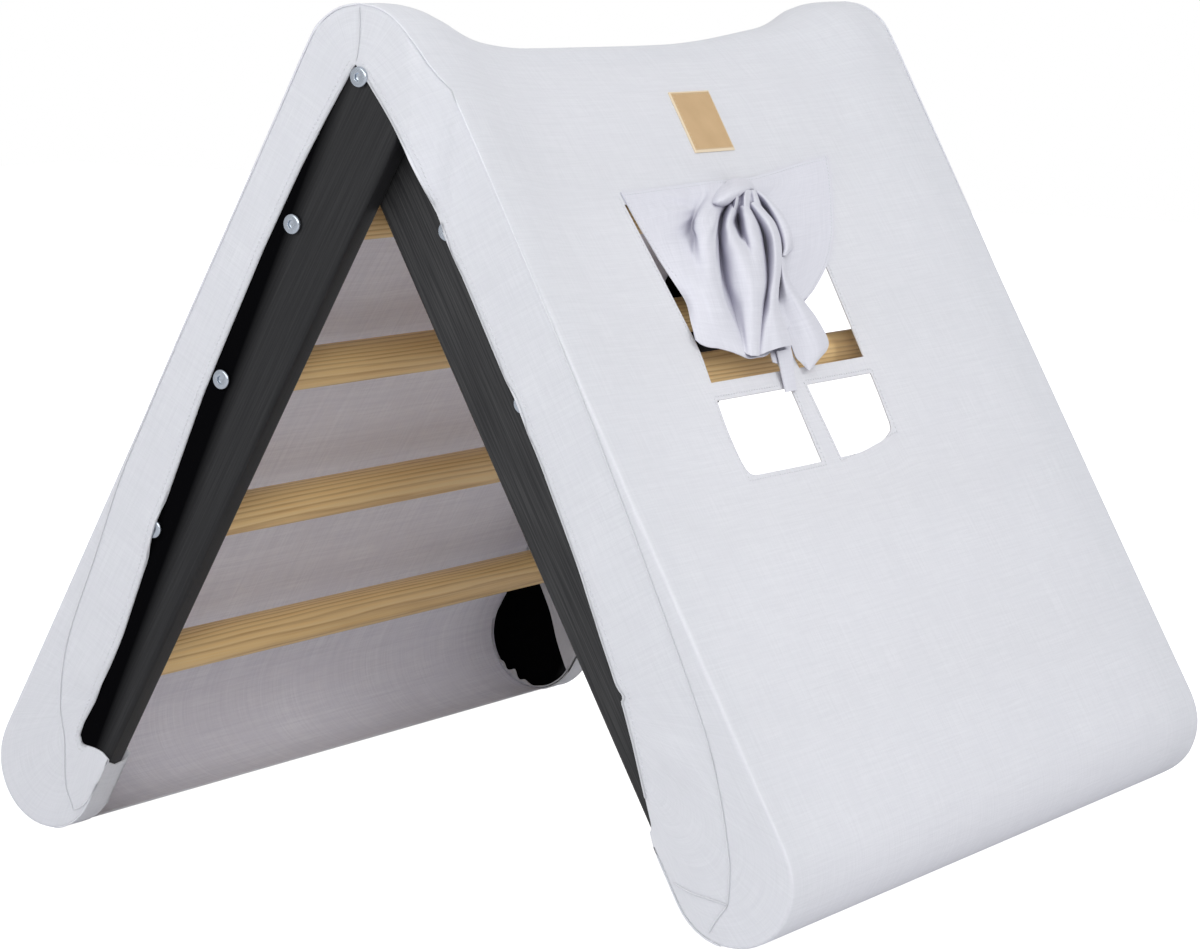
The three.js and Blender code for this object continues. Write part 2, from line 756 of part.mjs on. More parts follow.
// The ridge rung and the screws that the two frames turn on.
const ridgeHalf = innerInside - seatGap;
add(leftFrame, 'ridge_rung', rung(ridgeHalf, 0, pivotScrewDiameter / 2, pivotScrewBite), pine);
const pivotScrew = screw(outerFace, 0, pivotScrewDiameter / 2, -ridgeHalf + pivotScrewBite);
for (const [endWord, end] of ends) {
  add(leftFrame, `pivot_screw_${endWord}`, pivotScrew, zinc, -1, end);
  add(leftFrame, `pivot_washer_${endWord}`, washer(), zinc, -1, end);
}

// The panels. The left one is drawn for the right side and mirrored.
add(leftFrame, 'cover_panel_left', panel(() => coverEnd), cloth, -1, NEAR);
const wholePanel = toSolid(panel(rightEnd));
add(rightFrame, 'cover_panel_right', toGeometry(cut(wholePanel, ...panes())), cloth);

// The curtain and its tie, each resting on what lies under it.
const curtainSolid = curtain();
add(rightFrame, 'window_curtain', toGeometry(curtainSolid), cloth);
const knotSolid = resting(knot(0), wholePanel, curtainSolid);
add(rightFrame, 'curtain_tie_knot', toGeometry(knotSolid), cloth);
const laid = [wholePanel, curtainSolid, knot(2 * seatGap)];
for (const [name, shape] of Object.entries(tiePieces)) {
  const piece = resting(tiePiece(shape), ...laid);
  add(rightFrame, name, toGeometry(piece), cloth);
  laid.push(piece);
}
add(rightFrame, 'blank_patch', toGeometry(patch()), leather);

export default climbingFrame;
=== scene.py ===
# %% [markdown]
# # A folding climbing frame under a fitted cloth cover
#
# The object is a small wooden climbing triangle for a nursery. Two ladder frames of black
# stained boards and pale wooden rungs turn about the top rung, and a sewn cotton cover makes
# a tent of them. The right side of the cover has a window with a cross bar, and a curtain
# that is knotted up over it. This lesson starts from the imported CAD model, which already
# knows where every board, rung and screw is, and gives each visible piece its looks.

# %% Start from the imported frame
from math import atan2, cos, degrees, hypot, pi, radians, sin, tan

import bmesh
import bpy
import numpy as np
from mathutils import Matrix, Vector
from mathutils.bvhtree import BVHTree


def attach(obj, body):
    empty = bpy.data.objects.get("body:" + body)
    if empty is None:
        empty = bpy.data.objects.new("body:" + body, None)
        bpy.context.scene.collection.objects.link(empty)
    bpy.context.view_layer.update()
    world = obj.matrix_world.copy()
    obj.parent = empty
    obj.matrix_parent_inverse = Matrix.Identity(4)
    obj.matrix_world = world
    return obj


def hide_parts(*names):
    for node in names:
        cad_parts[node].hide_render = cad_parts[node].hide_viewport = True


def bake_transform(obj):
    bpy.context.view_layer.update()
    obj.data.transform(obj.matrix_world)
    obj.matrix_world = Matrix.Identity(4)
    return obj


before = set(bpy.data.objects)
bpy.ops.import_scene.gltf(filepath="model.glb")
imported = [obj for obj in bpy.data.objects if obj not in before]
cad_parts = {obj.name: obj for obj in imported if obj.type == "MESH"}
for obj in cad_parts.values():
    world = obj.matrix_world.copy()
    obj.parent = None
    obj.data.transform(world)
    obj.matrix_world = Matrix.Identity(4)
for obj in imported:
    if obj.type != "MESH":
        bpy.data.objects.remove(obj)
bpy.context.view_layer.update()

# %% [markdown]
# The sizes are those of the CAD source, in metres. A point of a frame is easiest to say in
# the leg's own terms: how far down the leg from the pivot, and how far out of its middle
# line, where out is away from the tent. One helper turns that into a place in the room.

# %% Sizes of the frames, and a point told in a leg's own terms
MM = 0.001
LEG = 580 * MM
LEAN = radians(29.5)
BOARD = 90 * MM
BOARD_DEEP = 20 * MM
OUTER_FACE = 318.75 * MM
INNER_FACE = 296.75 * MM
STEP = OUTER_FACE - INNER_FACE
CLOTH = 1.2 * MM
REACH = 1.5 * MM
CREST = 48.5 * MM
FOOT = 46.5 * MM
RIDGE = 16.5 * MM
FOLDED = radians(32.5)
PIVOT = 550.709 * MM
RUNGS = [down * MM for down in (115, 241.5, 368, 494.5)]
PATCH_WIDE, PATCH_HIGH = 54, 51.5
LEFT, RIGHT = -1, 1
NEAR, FAR = -1, 1
FRAMES = (("outer", LEFT, OUTER_FACE, "outer_frame"), ("inner", RIGHT, INNER_FACE, "inner_frame"))
ENDS = (("near", NEAR), ("far", FAR))


def leg_point(side, down, out, y):
    across = down * sin(LEAN) + out * cos(LEAN)
    up = out * sin(LEAN) - down * cos(LEAN)
    return Vector((side * across, y, PIVOT + up))


def leg_terms(side, x, z):
    across, up = side * x, z - PIVOT
    return across * sin(LEAN) - up * cos(LEAN), across * cos(LEAN) + up * sin(LEAN)


ROOF_OUT = Vector((cos(LEAN), 0, sin(LEAN)))


def eased(share):
    share = np.clip(share, 0.0, 1.0)
    return share * share * (3.0 - 2.0 * share)


print("foot centres at", round(leg_point(RIGHT, LEG, 0, 0).x / MM, 1), "mm from the middle")

# %% [markdown]
# The camera stands where the photographer stood: off the near corner of the open end, a
# little above the ground, with a long lens. Its place was solved from the boards' edges and
# the screws, so it is set as a place, a direction and a small roll.

# %% The camera
bpy.ops.object.select_all(action="DESELECT")
bpy.ops.object.camera_add(location=(1.4286, -2.1670, 0.6255))
camera = bpy.context.object
camera.name = "photo_camera"
azimuth, elevation, roll = radians(33.74), radians(8.28), radians(0.70)
forward = Vector((-sin(azimuth) * cos(elevation), cos(azimuth) * cos(elevation), -sin(elevation)))
level = Vector((cos(azimuth), sin(azimuth), 0))
upward = level.cross(forward)
right = level * cos(roll) + upward * sin(roll)
up = upward * cos(roll) - level * sin(roll)
turn = Matrix((right, up, -forward)).transposed().to_4x4()
camera.matrix_world = Matrix.Translation(camera.location) @ turn
camera.data.sensor_width = 36
camera.data.lens = 105.1
FOCUS_PX = 1200 * camera.data.lens / camera.data.sensor_width
camera.data.clip_end = 50
bpy.context.scene.camera = camera
print("camera at", [round(v, 3) for v in camera.location])

# %% [markdown]
# The photograph is a cut-out on white with hardly a shadow. A pale floor and a matching
# world do that: Light Path shows the camera plain white, while the lamps and a dim grey
# world light the object. The light comes from the upper right and from the front, which
# leaves the inside of the tent in soft shade.

# %% Floor, world and lamps
scene = bpy.context.scene
scene.view_settings.view_transform = "Standard"

bpy.ops.mesh.primitive_plane_add(size=12, location=(0, 0, -0.0005))
floor = bpy.context.object
floor.name = "floor"


class Tree:
    """The node tree of a material, a group or the world, with short calls for common nodes."""

    def __init__(self, owner):
        self.nodes, self.links = owner.nodes, owner.links

    def add(self, kind, **settings):
        made = self.nodes.new("ShaderNode" + kind)
        for key, value in settings.items():
            setattr(made, key, value)
        return made

    def feed(self, value, socket):
        """Links a socket to another one, or sets it to a constant."""
        if hasattr(value, "is_linked"):
            self.links.new(value, socket)
        else:
            socket.default_value = value

    def fed(self, kind, vector, inputs, **settings):
        """A node with its vector linked and its other inputs fed by name."""
        made = self.add(kind, **settings)
        self.feed(vector, made.inputs["Vector"])
        for label, value in inputs.items():
            self.feed(value, made.inputs[label])
        return made

    def math(self, operation, *values):
        made = self.add("Math", operation=operation)
        for slot, value in enumerate(values):
            self.feed(value, made.inputs[slot])
        return made.outputs[0]

    def ramp(self, factor, stops):
        made = self.add("ValToRGB")
        elements = made.color_ramp.elements
        while len(elements) < len(stops):
            elements.new(0.5)
        for element, (place, colour) in zip(elements, stops):
            element.position = place
            element.color = colour
        self.feed(factor, made.inputs["Fac"])
        return made.outputs["Color"]

    def mix(self, factor, first, second):
        made = self.add("Mix", data_type="RGBA")
        self.feed(factor, made.inputs["Factor"])
        for slot, value in (("A", first), ("B", second)):
            self.feed(value, [s for s in made.inputs if s.name == slot and s.type == "RGBA"][0])
        return [s for s in made.outputs if s.type == "RGBA"][0]

    def bump(self, shader, height, strength, distance):
        made = self.add("Bump")
        made.inputs["Strength"].default_value = strength
        made.inputs["Distance"].default_value = distance
        self.feed(height, made.inputs["Height"])
        self.feed(made.outputs["Normal"], shader.inputs["Normal"])


def new_material(name):
    material = bpy.data.materials.new(name)
    material.use_nodes = True
    tree = Tree(material.node_tree)
    return material, tree, tree.nodes["Principled BSDF"]


def floor_material():
    material, tree, shader = new_material("pale_floor")
    shader.inputs["Base Color"].default_value = (0.66, 0.66, 0.68, 1)
    shader.inputs["Roughness"].default_value = 0.9
    shader.inputs["Specular IOR Level"].default_value = 0.1
    glow = tree.add("Emission")
    glow.inputs["Color"].default_value = (1, 1, 1, 1)
    add = tree.add("AddShader")
    path = tree.add("LightPath")
    strength = tree.add("Math", operation="MULTIPLY_ADD")
    tree.feed(path.outputs["Is Camera Ray"], strength.inputs[0])
    strength.inputs[1].default_value = 0.90
    strength.inputs[2].default_value = 0.10
    tree.feed(strength.outputs[0], glow.inputs["Strength"])
    tree.feed(shader.outputs["BSDF"], add.inputs[0])
    tree.feed(glow.outputs["Emission"], add.inputs[1])
    tree.feed(add.outputs["Shader"], tree.nodes["Material Output"].inputs["Surface"])
    return material


floor.data.materials.append(floor_material())

world = bpy.data.worlds.new("studio")
scene.world = world
world.use_nodes = True
studio = Tree(world.node_tree)
background = studio.nodes["Background"]
background.inputs["Color"].default_value = (0.93, 0.94, 0.97, 1)
background.inputs["Strength"].default_value = 0.63
white = studio.add("Background")
white.inputs["Color"].default_value = (1, 1, 1, 1)
white.inputs["Strength"].default_value = 1.0
world_mix = studio.add("MixShader")
world_path = studio.add("LightPath")
studio.feed(world_path.outputs["Is Camera Ray"], world_mix.inputs["Fac"])
studio.feed(background.outputs["Background"], world_mix.inputs[1])
studio.feed(white.outputs["Background"], world_mix.inputs[2])
studio.feed(world_mix.outputs["Shader"], studio.nodes["World Output"].inputs["Surface"])


def softbox(name, place, aim, size, power):
    bpy.ops.object.light_add(type="AREA", location=place)
    lamp = bpy.context.object
    lamp.name = name
    lamp.data.shape = "DISK"
    lamp.data.size = size
    lamp.data.energy = power
    lamp.rotation_euler = (Vector(aim) - Vector(place)).to_track_quat("-Z", "Y").to_euler()


softbox("right", (2.9, 0.2, 2.3), (0, 0, 0.3), 1.0, 20)
softbox("corner", (1.7, -2.3, 1.5), (0, 0, 0.3), 1.6, 20)
softbox("front", (-0.3, -3.4, 1.8), (0, 0, 0.3), 2.6, 28)

# %% [markdown]
# Two effects are used by more than one finish, so each is a node group with named inputs.
# **wood_grain** draws long fibres and growth rings along one axis. **woven_threads** draws
# uneven cotton threads along a piece's own UV map, which is laid out in metres, so that the
# threads follow the cloth over the ridge and round the feet.

# %% Node group: wood grain along the X axis of its vector
def group_of(name, inputs, outputs):
    """A node group that takes a vector and numbers with defaults, and gives numbers."""
    group = bpy.data.node_groups.new(name, "ShaderNodeTree")
    group.interface.new_socket("Vector", in_out="INPUT", socket_type="NodeSocketVector")
    for label, value in inputs.items():
        socket = group.interface.new_socket(label, in_out="INPUT", socket_type="NodeSocketFloat")
        socket.default_value = value
    for label in outputs:
        group.interface.new_socket(label, in_out="OUTPUT", socket_type="NodeSocketFloat")
    ends = [group.nodes.new(kind) for kind in ("NodeGroupInput", "NodeGroupOutput")]
    return group, Tree(group), *ends


BLACK_STOP, WHITE_STOP = (0, 0, 0, 1), (1, 1, 1, 1)


def wood_grain_group():
    group, tree, into, out = group_of("wood_grain", {"Ring Size": 260.0, "Wander": 1.0},
                                      ["Rings", "Fibres", "Height"])
    stretch = tree.fed("Mapping", into.outputs["Vector"], {"Scale": (0.07, 1, 1)})
    drift = tree.fed("TexNoise", stretch.outputs["Vector"], {"Scale": 22, "Detail": 3})
    shift = tree.add("VectorMath", operation="SCALE")
    tree.feed(drift.outputs["Color"], shift.inputs[0])
    amount = tree.math("MULTIPLY", into.outputs["Wander"], 0.016)
    tree.feed(amount, shift.inputs["Scale"])
    moved = tree.add("VectorMath", operation="ADD")
    tree.feed(stretch.outputs["Vector"], moved.inputs[0])
    tree.feed(shift.outputs["Vector"], moved.inputs[1])
    rings = tree.fed("TexWave", moved.outputs["Vector"],
                     {"Scale": into.outputs["Ring Size"], "Distortion": 1.5, "Detail": 2},
                     wave_type="RINGS", rings_direction="X", wave_profile="SAW")
    fibre_map = tree.fed("Mapping", into.outputs["Vector"], {"Scale": (14, 900, 900)})
    fibres = tree.fed("TexNoise", fibre_map.outputs["Vector"], {"Scale": 1, "Detail": 4})
    tree.feed(rings.outputs["Fac"], out.inputs["Rings"])
    tree.feed(fibres.outputs["Fac"], out.inputs["Fibres"])
    height = tree.math("MULTIPLY_ADD", rings.outputs["Fac"], 0.35, fibres.outputs["Fac"])
    tree.feed(height, out.inputs["Height"])
    return group


WOOD_GRAIN = wood_grain_group()

# %% Node group: uneven woven threads on a UV map in metres
def woven_threads_group():
    fine_stretch, coarse, coarse_stretch = 0.035, 0.37, 0.011
    group, tree, into, out = group_of("woven_threads", {"Thread Size": 0.0007},
                                      ["Slubs", "Mottle", "Height"])
    count = tree.math("DIVIDE", 1.0, into.outputs["Thread Size"])

    def threads(scale):
        mapping = tree.fed("Mapping", into.outputs["Vector"], {"Scale": scale})
        noise = tree.fed("TexNoise", mapping.outputs["Vector"],
                         {"Scale": count, "Detail": 2, "Roughness": 0.6})
        return noise.outputs["Fac"]

    fine = tree.math("ADD", threads((1.0, fine_stretch, 1.0)), threads((fine_stretch, 1.0, 1.0)))
    thick = tree.math("ADD", threads((coarse, coarse_stretch, coarse)),
                      threads((coarse_stretch, coarse, coarse)))
    both = tree.math("ADD", fine, thick)
    slubs = tree.math("MULTIPLY", both, 0.25)
    mottle = tree.fed("TexNoise", into.outputs["Vector"], {"Scale": 26, "Detail": 4})
    lint = tree.fed("TexNoise", into.outputs["Vector"], {"Scale": count})
    height = tree.math("MULTIPLY_ADD", lint.outputs["Fac"], 0.2, slubs)
    tree.feed(slubs, out.inputs["Slubs"])
    tree.feed(mottle.outputs["Fac"], out.inputs["Mottle"])
    tree.feed(height, out.inputs["Height"])
    return group


WOVEN_THREADS = woven_threads_group()
print("node groups:", [g.name for g in bpy.data.node_groups])


# %% [markdown]
# The finishes. Black stain on a board leaves its grain standing, so it is seen in the sheen
# more than in the colour. The rungs are clear-lacquered pine, with reddish late wood in
# long stripes. Each takes its grain direction from a Mapping node, because the boards lean.

# %% Wood finishes
def grain_on(tree, rotation, ring_size, wander):
    place = tree.add("TexCoord")
    mapping = tree.fed("Mapping", place.outputs["Object"], {"Rotation": rotation},
                       vector_type="TEXTURE")
    grain = tree.add("Group")
    grain.node_tree = WOOD_GRAIN
    grain.inputs["Ring Size"].default_value = ring_size
    grain.inputs["Wander"].default_value = wander
    tree.feed(mapping.outputs["Vector"], grain.inputs["Vector"])
    return grain


def stained_board_with_shadow(name, side, dark, light, hem_shadow):
    """Black stain. The last argument, from 0 to 1, is the depth of a painted shadow along the
    cloth's hem.
    """
    material, tree, shader = new_material(name)
    grain = grain_on(tree, (0, pi / 2 - side * LEAN, 0), 150, 1.4)
    streaks = tree.ramp(grain.outputs["Fibres"], [(0.40, BLACK_STOP), (0.68, WHITE_STOP)])
    # Painted shadow along the cloth's hem: a band that slants down the leg and fades out over 12
    # mm.
    place = tree.add("TexCoord")
    slant, soft_edge, lower_by = 0.085, 12 * MM, 3 * MM
    across = tree.add("VectorMath", operation="DOT_PRODUCT")
    tree.feed(place.outputs["Object"], across.inputs[0])
    across.inputs[1].default_value = (side * (cos(LEAN) + slant * sin(LEAN)), 0,
                                      sin(LEAN) - slant * cos(LEAN))
    level = PIVOT * (sin(LEAN) - slant * cos(LEAN)) + lower_by
    shade = tree.math("MULTIPLY_ADD", across.outputs["Value"], 1 / soft_edge, -level / soft_edge)
    shade.node.use_clamp = True
    depth = tree.math("MULTIPLY", shade, hem_shadow)
    lit = tree.math("SUBTRACT", 1.0, depth)
    colour = tree.mix(streaks, dark, light)
    # Inside that painted shadow the board goes near black, and below, its reflection is dimmed
    # there too.
    shadowed_stain = tree.mix(depth, colour, (0.003, 0.003, 0.0035, 1))
    tree.feed(shadowed_stain, shader.inputs["Base Color"])
    sheen = tree.math("MULTIPLY_ADD", grain.outputs["Fibres"], 0.22, 0.34)
    tree.feed(sheen, shader.inputs["Roughness"])
    tree.feed(tree.math("MULTIPLY", lit, 0.36), shader.inputs["Specular IOR Level"])
    tree.bump(shader, grain.outputs["Height"], 0.22, 0.0006)
    return material


def lacquered_pine():
    material, tree, shader = new_material("lacquered_pine")
    grain = grain_on(tree, (0, 0, pi / 2), 95, 1.0)
    late = tree.ramp(grain.outputs["Rings"],
                     [(0.0, (0.99, 0.71, 0.35, 1)), (0.45, (0.96, 0.62, 0.25, 1)),
                      (0.84, (0.46, 0.20, 0.05, 1)), (1.0, (0.96, 0.63, 0.27, 1))])
    pale = tree.mix(grain.outputs["Fibres"], late, (0.99, 0.74, 0.38, 1))
    tree.feed(pale, shader.inputs["Base Color"])
    shader.inputs["Roughness"].default_value = 0.42
    shader.inputs["Specular IOR Level"].default_value = 0.4
    tree.bump(shader, grain.outputs["Height"], 0.12, 0.0004)
    return material


# The left boards are a darker copy of the same stain, as painted shade for the side that gets less
# light, and they carry the painted shadow along the hem. The right boards have neither.
shaded_black_left = stained_board_with_shadow("black_stain_shaded_left", LEFT, (0.010, 0.010, 0.011, 1),
                           (0.020, 0.020, 0.021, 1), 1.0)
black_right = stained_board_with_shadow("black_stain_right", RIGHT, (0.016, 0.016, 0.017, 1),
                            (0.045, 0.045, 0.045, 1), 0.0)
pine = lacquered_pine()

# %% [markdown]
# Bright zinc is a metal with a soft, slightly uneven shine. The cotton is matt and off-white
# with a cool tint, its threads uneven in thickness. The patch is tan imitation leather with
# a fine pebbled grain.

# %% Metal, cloth and leather finishes
def bright_zinc():
    material, tree, shader = new_material("bright_zinc")
    shader.inputs["Base Color"].default_value = (0.56, 0.61, 0.67, 1)
    shader.inputs["Metallic"].default_value = 1.0
    place = tree.add("TexCoord")
    spots = tree.fed("TexNoise", place.outputs["Object"], {"Scale": 420})
    tree.feed(tree.math("MULTIPLY_ADD", spots.outputs["Fac"], 0.22, 0.12),
              shader.inputs["Roughness"])
    tree.bump(shader, spots.outputs["Fac"], 0.15, 0.0002)
    return material


def cotton(name, pale, shade, thread=0.0009, depth=0.35, through_cloth=0.0, crease=None):
    """Woven cotton. The crease colour is painted shade: it darkens the cloth where folds lie close
    together.
    """
    material, tree, shader = new_material(name)
    place = tree.add("UVMap")
    place.uv_map = "cloth"
    weave = tree.add("Group")
    weave.node_tree = WOVEN_THREADS
    weave.inputs["Thread Size"].default_value = thread
    tree.feed(place.outputs["UV"], weave.inputs["Vector"])
    slubs = tree.ramp(weave.outputs["Slubs"], [(0.42, BLACK_STOP), (0.58, WHITE_STOP)])
    mottled = tree.math("MULTIPLY_ADD", weave.outputs["Mottle"], 0.9, 0.1)
    mixed = tree.math("MULTIPLY", slubs, mottled)
    colour = tree.mix(mixed, shade, pale)
    if crease:
        # Painted shade: ambient occlusion blends the colour toward the crease colour in the folds.
        folds = tree.add("AmbientOcclusion", samples=8)
        folds.inputs["Distance"].default_value = 16 * MM
        painted_fold_shade = tree.ramp(folds.outputs["AO"], [(0.12, BLACK_STOP), (0.72, WHITE_STOP)])
        colour = tree.mix(painted_fold_shade, crease, colour)
    tree.feed(colour, shader.inputs["Base Color"])
    shader.inputs["Roughness"].default_value = 0.92
    shader.inputs["Specular IOR Level"].default_value = 0.12
    shader.inputs["Sheen Weight"].default_value = 0.12
    shader.inputs["Sheen Roughness"].default_value = 0.6
    shader.inputs["Subsurface Weight"].default_value = through_cloth
    shader.inputs["Subsurface Radius"].default_value = (1.0, 0.95, 1.0)
    shader.inputs["Subsurface Scale"].default_value = 4 * MM
    tree.bump(shader, weave.outputs["Height"], depth, 0.0006)
    return material


def tan_leather():
    material, tree, shader = new_material("tan_leather")
    place = tree.add("TexCoord")
    pebbles = tree.fed("TexVoronoi", place.outputs["Object"], {"Scale": 900})
    cloud = tree.fed("TexNoise", place.outputs["Object"], {"Scale": 60})
    hide = tree.mix(cloud.outputs["Fac"], (0.58, 0.385, 0.195, 1), (0.69, 0.475, 0.255, 1))
    cut = tree.add("UVMap")
    cut.uv_map = "cloth"
    parts = tree.add("SeparateXYZ")
    tree.feed(cut.outputs["UV"], parts.inputs["Vector"])
    gaps = []
    for axis, length in (("X", PATCH_WIDE * MM), ("Y", PATCH_HIGH * MM)):
        from_middle = tree.math("SUBTRACT", parts.outputs[axis], length / 2)
        far = tree.math("ABSOLUTE", from_middle)
        gaps.append(tree.math("SUBTRACT", length / 2, far))
    rim = tree.math("MINIMUM", *gaps)
    pale_rim = tree.ramp(tree.math("MULTIPLY", rim, 1 / (4 * MM)),
                         [(0.22, WHITE_STOP), (0.45, BLACK_STOP)])
    colour = tree.mix(pale_rim, hide, (0.86, 0.72, 0.52, 1))
    tree.feed(colour, shader.inputs["Base Color"])
    shader.inputs["Roughness"].default_value = 0.62
    tree.bump(shader, pebbles.outputs["Distance"], 0.3, 0.0004)
    return material


zinc = bright_zinc()
cover_cotton = cotton("cover_cotton", (0.84, 0.845, 0.90, 1), (0.755, 0.76, 0.815, 1),
                      through_cloth=0.6)
# The lining is a paler copy of the cover's cotton: painted light for the light that comes through
# the cloth into the tent.
lightened_inner_cotton = cotton("lightened_inner_cotton", (0.92, 0.91, 0.97, 1), (0.74, 0.725, 0.80, 1), 0.0015, 0.5,
                      through_cloth=0.6)
# The curtain's crease colour is painted shade in its folds.
curtain_cotton = cotton("curtain_cotton", (0.83, 0.83, 0.885, 1), (0.73, 0.73, 0.785, 1),
                        crease=(0.34, 0.33, 0.42, 1))
thread_cotton = cotton("thread_cotton", (0.80, 0.805, 0.84, 1), (0.72, 0.725, 0.76, 1))
tan_thread = cotton("tan_thread", (0.80, 0.66, 0.46, 1), (0.66, 0.52, 0.34, 1))
leather = tan_leather()
print("finishes:", sorted(m.name for m in bpy.data.materials))

# %% [markdown]
# ## The boards
#
# A board is a plank with both ends rounded to a half circle and all its edges eased. It
# starts as a short cylinder that is turned by half a facet, so that pulling its lower half
# down the leg leaves two straight sides. A bevel modifier eases the two rims. The finished
# plank leans with its frame, and four of them replace the plain CAD boards.

# %% Model the boards
def bare_selection():
    bpy.ops.object.select_all(action="DESELECT")


def select_only(piece):
    bare_selection()
    piece.select_set(True)
    bpy.context.view_layer.objects.active = piece


def apply_all(piece):
    select_only(piece)
    for modifier in list(piece.modifiers):
        bpy.ops.object.modifier_apply(modifier=modifier.name)


def settle(piece):
    select_only(piece)
    bpy.ops.object.transform_apply(location=True, rotation=True, scale=True)


def smooth(piece, angle=40):
    select_only(piece)
    bpy.ops.object.shade_smooth_by_angle(angle=radians(angle))


def ease_edges(piece, width, segments, angle=60):
    """Rounds the edges that turn by more than an angle, in degrees."""
    easing = piece.modifiers.new("eased_edges", "BEVEL")
    easing.width = width
    easing.segments = segments
    easing.limit_method = "ANGLE"
    easing.angle_limit = radians(angle)
    apply_all(piece)


def piece_of(mesh, name):
    """Turns a bmesh into a linked object."""
    data = bpy.data.meshes.new(name)
    mesh.to_mesh(data)
    mesh.free()
    piece = bpy.data.objects.new(name, data)
    bpy.context.collection.objects.link(piece)
    return piece


def finish_piece(piece, material, slot, body, *nodes):
    piece.data.materials.clear()
    piece.data.materials.append(material)
    if body:
        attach(piece, body)
    if nodes:
        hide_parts(*nodes)


def board(name, side, face_y):
    facets = 72
    bare_selection()
    bpy.ops.mesh.primitive_cylinder_add(
        vertices=facets, radius=BOARD / 2 / cos(pi / facets), depth=BOARD_DEEP,
        rotation=(pi / 2, pi / facets, 0))
    piece = bpy.context.object
    piece.name = name
    settle(piece)
    bpy.ops.object.mode_set(mode="EDIT")
    bpy.ops.mesh.select_all(action="DESELECT")
    bpy.ops.object.mode_set(mode="OBJECT")
    for vertex in piece.data.vertices:
        vertex.select = vertex.co.z < 0
    bpy.ops.object.mode_set(mode="EDIT")
    bpy.ops.transform.translate(value=(0, 0, -LEG))
    bpy.ops.object.mode_set(mode="OBJECT")
    ease_edges(piece, 4.5 * MM, 5)
    middle = face_y - np.sign(face_y) * BOARD_DEEP / 2
    piece.location = (0, middle, PIVOT)
    piece.rotation_euler = (0, -side * LEAN, 0)
    settle(piece)
    smooth(piece)
    return piece


stains_and_shade = {LEFT: shaded_black_left, RIGHT: black_right}
for word, side, face, body in FRAMES:
    for end, sign in ENDS:
        plank = board(f"{word}_board_{end}", side, sign * face)
        finish_piece(plank, stains_and_shade[side], "black_paint", body, f"{word}_leg_{end}")
print("boards made: 4")

# %% [markdown]
# ## The rungs
#
# A rung is a turned pole between two boards. Its ends butt against them, so it only needs
# a round section and a slight easing at each end. The top rung joins the two frames.

# %% Model the rungs
RUNG_GAP = 0.3 * MM


def rung(name, centre, face):
    half_length = face - BOARD_DEEP - RUNG_GAP
    bare_selection()
    bpy.ops.mesh.primitive_cylinder_add(vertices=48, radius=15 * MM, depth=2 * half_length,
                                        location=centre, rotation=(pi / 2, 0, 0))
    piece = bpy.context.object
    piece.name = name
    ease_edges(piece, 0.8 * MM, 2)
    settle(piece)
    smooth(piece)
    return piece


for word, side, face, body in FRAMES:
    for count, down in enumerate(RUNGS, 1):
        pole = rung(f"{word}_pole_{count}", leg_point(side, down, 0, 0), face)
        finish_piece(pole, pine, "pine", body, f"{word}_rung_{count}")
top_pole = rung("ridge_pole", (0, 0, PIVOT), INNER_FACE)
finish_piece(top_pole, pine, "pine", "outer_frame", "ridge_rung")
print("rungs made: 9")

# %% [markdown]
# ## The screws
#
# The screws are pan heads with a hexagon socket. The head is a cylinder with a rounded rim,
# and the socket is cut with a six-sided bar by a Boolean modifier. One head is modelled and
# every screw gets a copy with a mesh of its own. The shanks are hidden in the wood.

# %% Model one screw head and copy it to its places
def screw_head():
    bare_selection()
    bpy.ops.mesh.primitive_cylinder_add(vertices=40, radius=7 * MM, depth=3.2 * MM,
                                        location=(0, -1.9 * MM, 0), rotation=(pi / 2, 0, 0))
    head = bpy.context.object
    head.name = "screw_head"
    settle(head)
    for edge in head.data.edges:
        edge.use_edge_sharp = False
    ease_edges(head, 1.5 * MM, 5)
    bare_selection()
    bpy.ops.mesh.primitive_cylinder_add(vertices=6, radius=2.9 * MM, depth=5 * MM,
                                        location=(0, -4.1 * MM, 0), rotation=(pi / 2, 0, 0))
    bar = bpy.context.object
    settle(bar)
    socket = head.modifiers.new("socket", "BOOLEAN")
    socket.operation = "DIFFERENCE"
    socket.object = bar
    apply_all(head)
    bpy.data.objects.remove(bar)
    ease_edges(head, 0.25 * MM, 2, 50)
    smooth(head, 35)
    return head


def copy_of(piece, name):
    twin = piece.copy()
    twin.data = piece.data.copy()
    twin.name = name
    bpy.context.collection.objects.link(twin)
    return twin


master_head = screw_head()
for word, side, face, body in FRAMES:
    for end, sign in ENDS:
        places = [(f"{word}_head_{end}_{count}", leg_point(side, down, 0, sign * face),
                   f"{word}_screw_{end}_{count}") for count, down in enumerate(RUNGS, 1)]
        if word == "outer":
            places.append((f"pivot_head_{end}", Vector((0, sign * face, PIVOT)),
                           f"pivot_screw_{end}"))
        for count, (name, place, solid) in enumerate(places):
            head = copy_of(master_head, name)
            head.rotation_euler = (0, 0.35 + 0.7 * count, 0 if sign == NEAR else pi)
            head.location = place
            settle(head)
            finish_piece(head, zinc, "zinc", body, solid)
bpy.data.objects.remove(master_head)
for end in ("near", "far"):
    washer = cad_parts[f"pivot_washer_{end}"]
    washer.data.materials.clear()
    washer.data.materials.append(zinc)
print("screw heads made: 18")

# %% [markdown]
# ## The cover
#
# The cover is one sewn cloth: it runs from under the left feet up over the ridge and down
# to the right feet, and folds over the boards' outside faces as a band at each end. Between
# the boards nothing holds it up but the top rung, so the ridge line sags in a wide saddle.
# It is built as one grid. Rows run across the tent and follow the line down each leg, and
# columns run along it: first the near band from its hem to the corner, then the roof, then
# the far band. The helpers below say how far the cloth stands out at each place.

